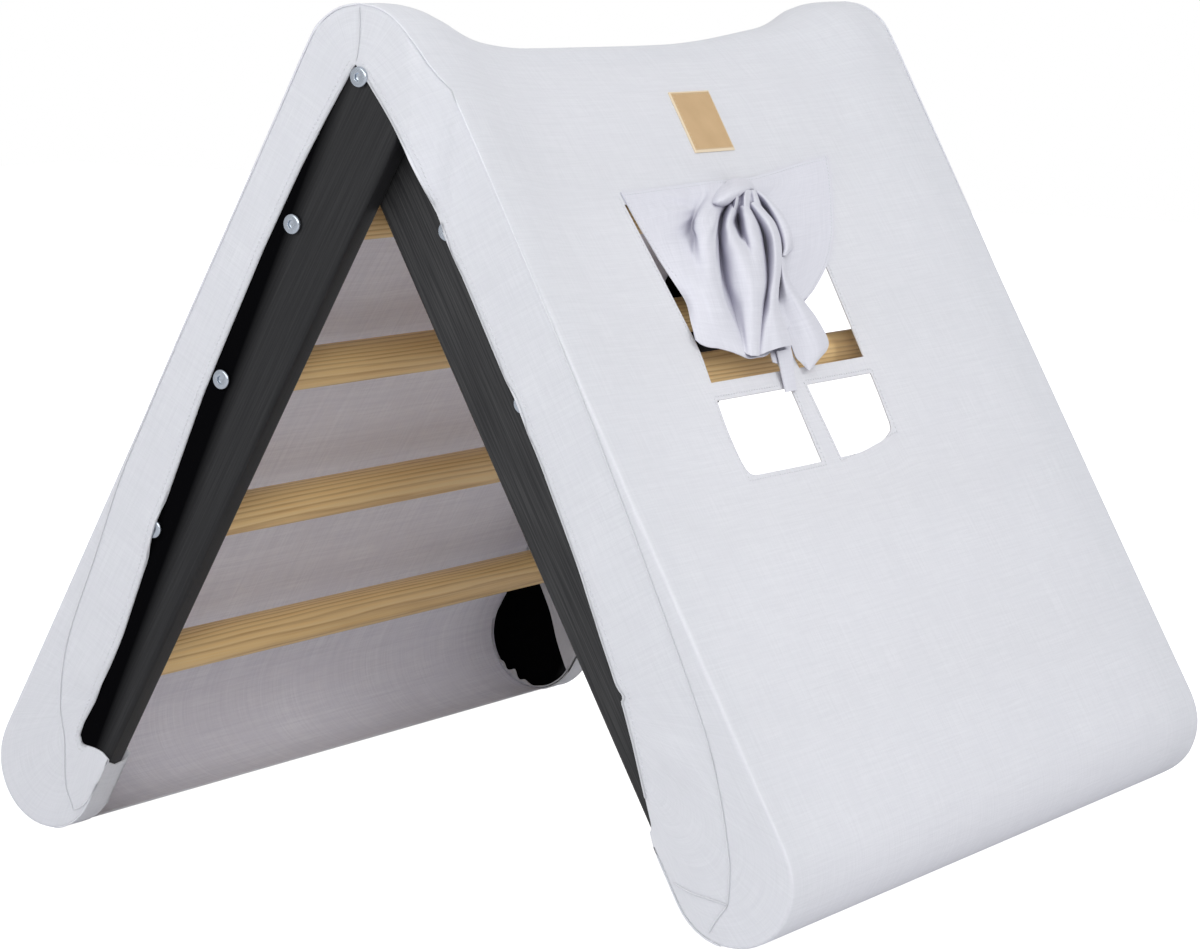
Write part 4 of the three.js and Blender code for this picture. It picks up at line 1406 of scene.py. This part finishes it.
# %% The curtain's flap
FLAP_RIBS = [
    [(621, 192, 1.2), (640, 190, 1.2), (662, 187, 1.2), (684, 184, 1.2), (700, 182, 1.4),
     (712, 181, 1.6), (724, 180, 1.8), (736, 179, 1.8), (752, 177, 1.6), (775, 170, 1.3),
     (800, 162, 1.3), (828, 155, 1.2)],
    [(632, 212, 1.2), (652, 208, 1.8), (674, 203, 2.6), (693, 198, 3), (704, 196, 4),
     (711, 196, 11), (722, 194, 12), (735, 194, 10), (750, 192, 8), (778, 186, 2.2),
     (805, 180, 2.0), (831, 172, 1.2)],
    [(641, 228, 1.2), (658, 224, 2.4), (676, 219, 3.4), (689, 216, 3.4), (695, 215, 4),
     (699, 214, 14), (709, 213, 18), (720, 212, 13), (727, 213, 4), (760, 211, 3),
     (800, 203, 2.2), (833, 195, 1.2)],
    [(650, 243, 1.2), (662, 240, 3), (676, 238, 4), (687, 237, 3.6), (693, 236, 4),
     (697, 235, 14), (708, 234, 18.5), (717, 233, 13), (721, 233, 3), (755, 234, 2.5),
     (800, 228, 2.2), (834, 217, 1.2)],
    [(661, 262, 1.3), (671, 261, 4), (681, 260, 6.5), (689, 259, 7.5), (695, 258, 9),
     (702, 258, 14.5), (711, 257, 17.5), (717, 257, 13), (720, 257, 3), (760, 256, 2.5),
     (800, 250, 2.2), (834, 236, 1.2)],
    [(674, 283, 2), (682, 283, 6), (690, 282, 10), (696, 282, 12), (702, 281, 14),
     (708, 281, 16), (714, 280, 16), (720, 280, 12), (724, 281, 3), (760, 282, 3),
     (795, 276, 2), (831, 253, 1.5)],
    [(686, 303, 2.5), (692, 303, 7), (698, 303, 10), (704, 303, 12), (709, 303, 14),
     (715, 303, 15), (721, 303, 15), (726, 304, 10), (731, 306, 4), (760, 308, 4),
     (790, 300, 2.5), (825, 270, 1.8)],
    [(691, 323, 3.5), (697, 324, 7), (703, 325, 9), (709, 326, 10.5), (716, 327, 12),
     (723, 328, 12.5), (730, 328, 12), (737, 329, 9.5), (743, 331, 7.5), (760, 332, 7),
     (785, 318, 4), (814, 290, 2.5)],
    [(696, 339, 5), (702, 344, 6), (710, 347, 7), (718, 348, 8), (726, 350, 8.5),
     (733, 352, 9), (741, 355, 9.5), (749, 358, 10), (758, 357, 10), (770, 353, 8),
     (786, 331, 4), (803, 303, 3)],
]


def pinch(place):
    """Small pleats that run from the knot into the cloth about it, in millimetres."""
    knot_down, knot_y = 128, -18
    down, _ = leg_terms(RIGHT, place.x, place.z)
    away, along = down / MM - knot_down, place.y / MM - knot_y
    reach = hypot(away, along)
    angle = atan2(away, -along)
    pleats = sin(angle * 15 + 0.6) + 0.6 * sin(angle * 27 + 2.1)
    return 1.3 * pleats * float(eased((reach - 22) / 16)) * float(eased((96 - reach) / 50))


placed = [[tuple(seen_on_roof(*p)) for p in rib] for rib in FLAP_RIBS]
flap_grid = ribbed_grid(placed, 8, 8)
last_row, last_column = len(flap_grid) - 1, len(flap_grid[0]) - 1
for i, line in enumerate(flap_grid):
    for j, point in enumerate(line):
        border = min(i, j, last_row - i, last_column - j)
        point = Vector(point)
        line[j] = point + ROOF_OUT * max(pinch(point), -0.9) * MM * float(eased(border / 5))
flap, *flap_size = sheet_mesh("curtain_flap", flap_grid)
face_up(flap)
thicken(flap, 1.0 * MM)
smooth(flap, 60)
finish_piece(flap, curtain_cotton, "curtain_cloth", "curtain", "window_curtain")
top_line = [seen_on_roof(px, py + 3.2, 1.2) for px, py, _ in FLAP_RIBS[0]]
right_line = [seen_on_roof(rib[-1][0] - 3.0, rib[-1][1], 1.2) for rib in FLAP_RIBS]
left_line = [seen_on_roof(rib[0][0] + 3.0, rib[0][1], 2.0) for rib in FLAP_RIBS[:6]]
curtain_stitches = stitches("curtain_stitches", [top_line, right_line, left_line], flap,
                            lambda place: ROOF_OUT)
finish_piece(curtain_stitches, thread_cotton, "curtain_cloth", "curtain")
smooth(curtain_stitches, 60)
declare(flap, flap_size)
print("curtain flap area, square metres:", round(flap_size[2], 4))

# %% [markdown]
# ## The tie
#
# The curtain's middle is drawn up and tied with strips of the same cloth. The knot is a
# band that wraps over the bunched folds. One full loop comes down its left, a small loop
# its right, and two tails fan out below, with the end of a narrow ribbon under them.

# %% The knot, its loops and its tails
TIE = {
    "tie_knot": ("curtain_tie_knot", [[
        [(708, 204, 3), (709, 203, 7), (710, 201, 9), (711, 199, 7), (712, 197, 2)],
        [(713, 207, 8), (714, 204, 17), (716, 199, 20), (717, 194, 17), (717, 189, 5)],
        [(721, 208, 12), (722, 203, 22), (724, 197, 25), (725, 190, 22), (725, 183, 6)],
        [(730, 204, 15), (731, 199, 24), (732, 193, 27), (733, 186, 24), (733, 178, 6)],
        [(738, 199, 15), (739, 195, 23), (741, 190, 26), (742, 185, 22), (743, 178, 6)],
        [(745, 195, 12), (746, 192, 20), (748, 188, 22), (749, 185, 17), (750, 181, 5)],
        [(752, 192, 5), (753, 191, 9), (754, 189, 10), (754, 187, 8), (755, 185, 2)]], [
        [(733, 194, 17), (737, 192, 21), (741, 191, 19), (746, 190, 22), (750, 190, 18),
         (754, 190, 19), (758, 191, 10)],
        [(731, 201, 15), (736, 199, 22), (740, 198, 18), (745, 196, 23), (750, 195, 18),
         (755, 195, 20), (760, 197, 8)],
        [(729, 208, 9), (734, 207, 18), (739, 206, 15), (745, 205, 20), (751, 204, 16),
         (757, 203, 18), (762, 204, 7)],
        [(726, 214, 5), (732, 213, 14), (738, 213, 11), (745, 212, 16), (753, 211, 12),
         (760, 209, 14), (765, 210, 5)]]]),
    "tie_loop_left": ("curtain_tie_loop_left", [[
        [(727, 207, 9), (730, 205, 15), (734, 204, 16), (737, 204, 14), (739, 205, 14),
         (741, 206, 17), (744, 206, 18), (747, 207, 16), (750, 209, 11)],
        [(723, 215, 4), (727, 214, 14), (731, 213, 17), (735, 213, 12), (738, 214, 7),
         (741, 214, 14), (745, 213, 19), (750, 214, 18), (754, 216, 10)],
        [(721, 226, 3), (725, 225, 13), (729, 224, 16), (733, 223, 9), (738, 223, 1),
         (742, 223, 11), (746, 222, 18), (752, 222, 19), (758, 225, 10)],
        [(720, 237, 3), (724, 236, 11), (730, 235, 17), (735, 234, 14), (740, 234, 5),
         (744, 233, 12), (748, 232, 18), (754, 232, 19), (761, 235, 9)],
        [(721, 248, 2), (725, 248, 10), (731, 247, 16), (737, 246, 19), (743, 246, 17),
         (747, 245, 14), (752, 245, 18), (758, 245, 18), (763, 247, 8)],
        [(723, 264, 2), (728, 264, 9), (734, 263, 15), (740, 262, 19), (746, 262, 20),
         (751, 262, 19), (757, 262, 19), (762, 263, 15), (766, 264, 7)],
        [(727, 285, 2), (732, 285, 8), (738, 284, 13), (744, 284, 17), (750, 284, 20),
         (755, 284, 20), (761, 284, 18), (765, 284, 13), (768, 285, 7)],
        [(733, 306, 3), (738, 306, 8), (743, 306, 13), (747, 306, 16), (751, 306, 18),
         (755, 306, 18), (759, 306, 16), (762, 306, 12), (764, 306, 7)],
        [(739, 330, 7), (743, 330, 10), (746, 330, 13), (749, 330, 15), (752, 330, 16),
         (755, 330, 16), (758, 330, 15), (760, 330, 12), (762, 329, 8)],
        [(743, 352, 9), (746, 354, 10), (749, 355, 12), (751, 356, 13), (753, 356, 13),
         (755, 356, 13), (757, 356, 12), (759, 355, 10), (760, 353, 8)]]]),
    "tie_tail_centre": ("curtain_tie_tail_centre", [[
        [(747, 207, 11), (750, 204, 17), (753, 202, 19), (756, 201, 17), (759, 203, 11)],
        [(752, 217, 7), (756, 214, 15), (760, 211, 19), (763, 210, 17), (767, 212, 10)],
        [(759, 230, 4), (763, 227, 13), (768, 223, 19), (771, 221, 18), (776, 223, 10)],
        [(764, 246, 3), (768, 242, 12), (773, 237, 19), (776, 236, 18), (781, 238, 11)],
        [(766, 262, 4), (770, 258, 13), (775, 255, 19), (778, 254, 18), (782, 256, 12)],
        [(767, 278, 7), (770, 276, 15), (775, 274, 20), (778, 273, 18), (781, 273, 11)],
        [(766, 292, 9), (769, 291, 16), (773, 290, 19), (776, 290, 18), (779, 290, 10)],
        [(763, 310, 10), (767, 309, 15), (771, 309, 18), (775, 309, 17), (779, 309, 10)],
        [(760, 329, 11), (765, 328, 15), (771, 327, 17), (778, 327, 17), (786, 326, 10)],
        [(758, 354, 11), (764, 353, 14), (772, 350, 15), (782, 347, 16), (793, 345, 11)]], [
        [(771, 346, 4), (777, 345, 4.5), (784, 344, 4.5), (791, 343, 4)],
        [(771, 354, 4), (777, 354, 5), (784, 352, 5), (791, 349, 4)],
        [(773, 362, 3), (778, 363, 4), (783, 360, 4), (789, 354, 3)]]]),
    "tie_loop_right": ("curtain_tie_loop_right", [[
        [(753, 193, 9), (755, 191, 14), (757, 191, 15), (759, 192, 12), (760, 194, 6)],
        [(760, 202, 6), (763, 199, 13), (765, 198, 15), (768, 199, 12), (770, 202, 4)],
        [(768, 213, 5), (771, 210, 13), (774, 209, 15), (777, 210, 12), (780, 213, 4)],
        [(775, 226, 5), (778, 222, 13), (782, 220, 15), (785, 221, 12), (787, 225, 4)],
        [(780, 240, 6), (783, 236, 13), (787, 233, 15), (790, 234, 12), (791, 238, 4)],
        [(782, 250, 8), (785, 248, 13), (788, 246, 14), (790, 246, 10), (792, 247, 3)],
        [(782, 257, 9), (783, 256, 11), (785, 255, 11), (787, 253, 8), (789, 251, 3)]]]),
    "tie_tail_right": ("curtain_tie_tail_right", [[
        [(779, 260, 7), (780, 258, 10), (782, 257, 11), (783, 257, 10), (785, 258, 5)],
        [(778, 278, 4), (780, 276, 9), (783, 275, 12), (785, 275, 11), (788, 276, 4)],
        [(778, 295, 2), (781, 293, 6), (786, 291, 11), (791, 289, 12), (796, 290, 4)],
        [(779, 310, 2), (784, 309, 4), (792, 306, 9), (799, 303, 12), (805, 302, 5)],
        [(785, 327, 2), (791, 326, 4), (800, 324, 9), (809, 321, 12), (817, 318, 6)],
        [(791, 344, 3), (798, 344, 5), (808, 343, 9), (819, 341, 11), (828, 339, 6)],
        [(796, 357, 3), (802, 358, 5), (810, 358, 8), (820, 355, 9), (827, 350, 5)],
        [(801, 363, 3), (805, 367, 4), (809, 370, 6), (814, 366, 6), (819, 359, 4)]]]),
    "tie_ribbon": ("curtain_tie_ribbon", [[
        [(777, 351, 7), (784, 350, 7.5), (791, 348, 7)],
        [(779, 360, 6), (786, 359, 6.5), (793, 357, 6)],
        [(782, 375, 4), (788, 374, 4.5), (794, 372, 4)],
        [(786, 392, 2), (791, 391, 2.6), (797, 390, 2)]]]),
}
for name, (solid, parts) in TIE.items():
    piece, size = drape(name, parts, 0.9 * MM)
    finish_piece(piece, curtain_cotton, "curtain_cloth", "curtain", solid)
    declare(piece, size)
print("tie pieces:", len(TIE))

# %% [markdown]
# ## The patch
#
# A small square of tan leather is sewn on near the ridge. It is left bare. It is laid over
# a grid like the cloths, with its edge turned down and a row of stitches just inside it.

# %% The leather patch
def patch_place(u, v):
    middle_down, middle_y, slant = 56, 31.5, tan(radians(7.5))
    down = middle_down + (v - 0.5) * PATCH_HIGH
    y = middle_y + (u - 0.5) * PATCH_WIDE - slant * (v - 0.5) * PATCH_HIGH
    edge = min(min(u, 1 - u) * PATCH_WIDE, min(v, 1 - v) * PATCH_HIGH)
    return on_roof(down, y, 0.9 + 0.5 * float(eased(edge / 1.6)))


patch_shares = sorted({0, 0.012, 0.03, 0.97, 0.988, 1, *[k / 14 for k in range(15)]})
patch_grid = [[patch_place(u, v) for u in patch_shares] for v in patch_shares]
label = sheet_mesh("leather_patch", patch_grid)[0]
face_up(label)
thicken(label, 1.0 * MM)
smooth(label, 50)
finish_piece(label, leather, "patch_leather", "inner_frame", "blank_patch")
corner_shares = [(0.05, 0.05), (0.95, 0.05), (0.95, 0.95), (0.05, 0.95), (0.05, 0.05)]
patch_rows = [[patch_place(u, v) for u, v in corner_shares]]
patch_stitches = stitches("patch_stitches", patch_rows, label, lambda place: ROOF_OUT,
                          1.7 * MM, 0.26 * MM)
finish_piece(patch_stitches, tan_thread, "patch_leather", "inner_frame")
smooth(patch_stitches, 60)
print("patch made")

# %% [markdown]
# ## The foot pockets
#
# At each foot the cover ends in a pocket. Its side runs round the board's rounded end and a
# little way up the inner edge. Inside the tent it turns onto the board's face as a narrow
# gathered lip, and a flap crosses the board slantwise below the lowest rung.

# %% The four foot pockets
POCKET_FLAT = (0.09, 0.12)
LIP_INSET = 1.9 * MM
FLAP_LOW = [(585, -46.6), (582, -40), (567, -22), (552, -6), (535, 17), (517, 43.5)]
FLAP_HIGH = {NEAR: [(538, -46.6), (535, -34), (526, -19), (518, 0), (512, 18), (490, 43.5)],
             FAR: [(502, -46.6), (505, -34), (512, -19), (514, 0), (512, 18), (490, 43.5)]}


def pocket_side(side, end, face):
    outer = (OUTER_FACE if end == FAR else face) + REACH
    inner = face - BOARD_DEEP - REACH
    ys = [outer, outer - 2.5 * MM, (outer + inner) / 2, inner + 2.5 * MM, inner]
    tops = [540, 543, 547, 545, 538] if end == NEAR else [538, 536, 520, 505, 502]
    round_steps, inner_steps = 6, 8
    lines = []
    for k in range(round_steps + 1):
        angle = WRAP + (pi - WRAP) * k / round_steps
        lines.append([leg_point(side, LEG + FOOT * sin(angle), FOOT * cos(angle), end * y)
                      for y in ys])
    for k in range(1, inner_steps + 1):
        share = k / inner_steps
        lines.append([leg_point(side, LEG + (top * MM - LEG) * share, -FOOT, end * y)
                      for y, top in zip(ys, tops)])
    return lines


def pocket_flap(side, end, face):
    plane = face - BOARD_DEEP - REACH
    low, high = through(FLAP_LOW, 5), through(FLAP_HIGH[end], 5)
    lines, steps = [], 12
    for k in range(steps + 1):
        t = k / steps
        line = []
        for a, b in zip(low, high):
            down, out = (a + (b - a) * t) * MM
            crease = 0.9 * MM * sin(9 * t + 60 * out) * float(eased((out + 44 * MM) / (25 * MM)))
            line.append(leg_point(side, down, out, end * (plane - abs(crease))))
        lines.append(line)
    return lines


def pocket_lip(side, end, face):
    plane = face - BOARD_DEEP - REACH
    lines, steps, first, turn = [], 90, 14, 166
    for k in range(steps + 1):
        angle = radians(first + turn * k / steps)
        ruffle = float(np.exp(-((degrees(angle) - 90) / 24) ** 2))
        gather = 0.5 + 0.5 * sin(angle * 17)
        wide = (1.2 + ruffle * (2.6 + 6.0 * gather)) * MM
        puff = (0.5 + ruffle * (1.2 + 4.6 * gather)) * MM
        line = []
        for depth, lift in ((0, 0.0), (0.35, 0.8), (0.75, 1.0), (1.0, 0.35)):
            radius = FOOT - LIP_INSET - wide * depth
            line.append(leg_point(side, LEG + radius * sin(angle), radius * cos(angle),
                                  end * (plane - puff * lift)))
        lines.append(line)
    return lines


for frame_word, side, face, body in FRAMES:
    word = "left" if side == LEFT else "right"
    for end_word, end in ENDS:
        name = f"foot_pocket_{end_word}_{word}"
        made, size = [], [*POCKET_FLAT, 0.0]
        for count, shape in enumerate((pocket_side, pocket_flap, pocket_lip)):
            part, across, along, area = sheet_mesh(f"{name}_{count}", shape(side, end, face))
            centre = leg_point(side, 545 * MM, 0, end * (face - BOARD_DEEP / 2))
            face_outwards(part, centre)
            made.append(part)
            size[2] += area
        pocket = join(made, name)
        thicken(pocket, CLOTH)
        smooth(pocket, 60)
        finish_piece(pocket, cover_cotton, "cover_cloth", body,
                     f"foot_sleeve_{end_word}_{word}")
        declare(pocket, size)
print("foot pockets made: 4")
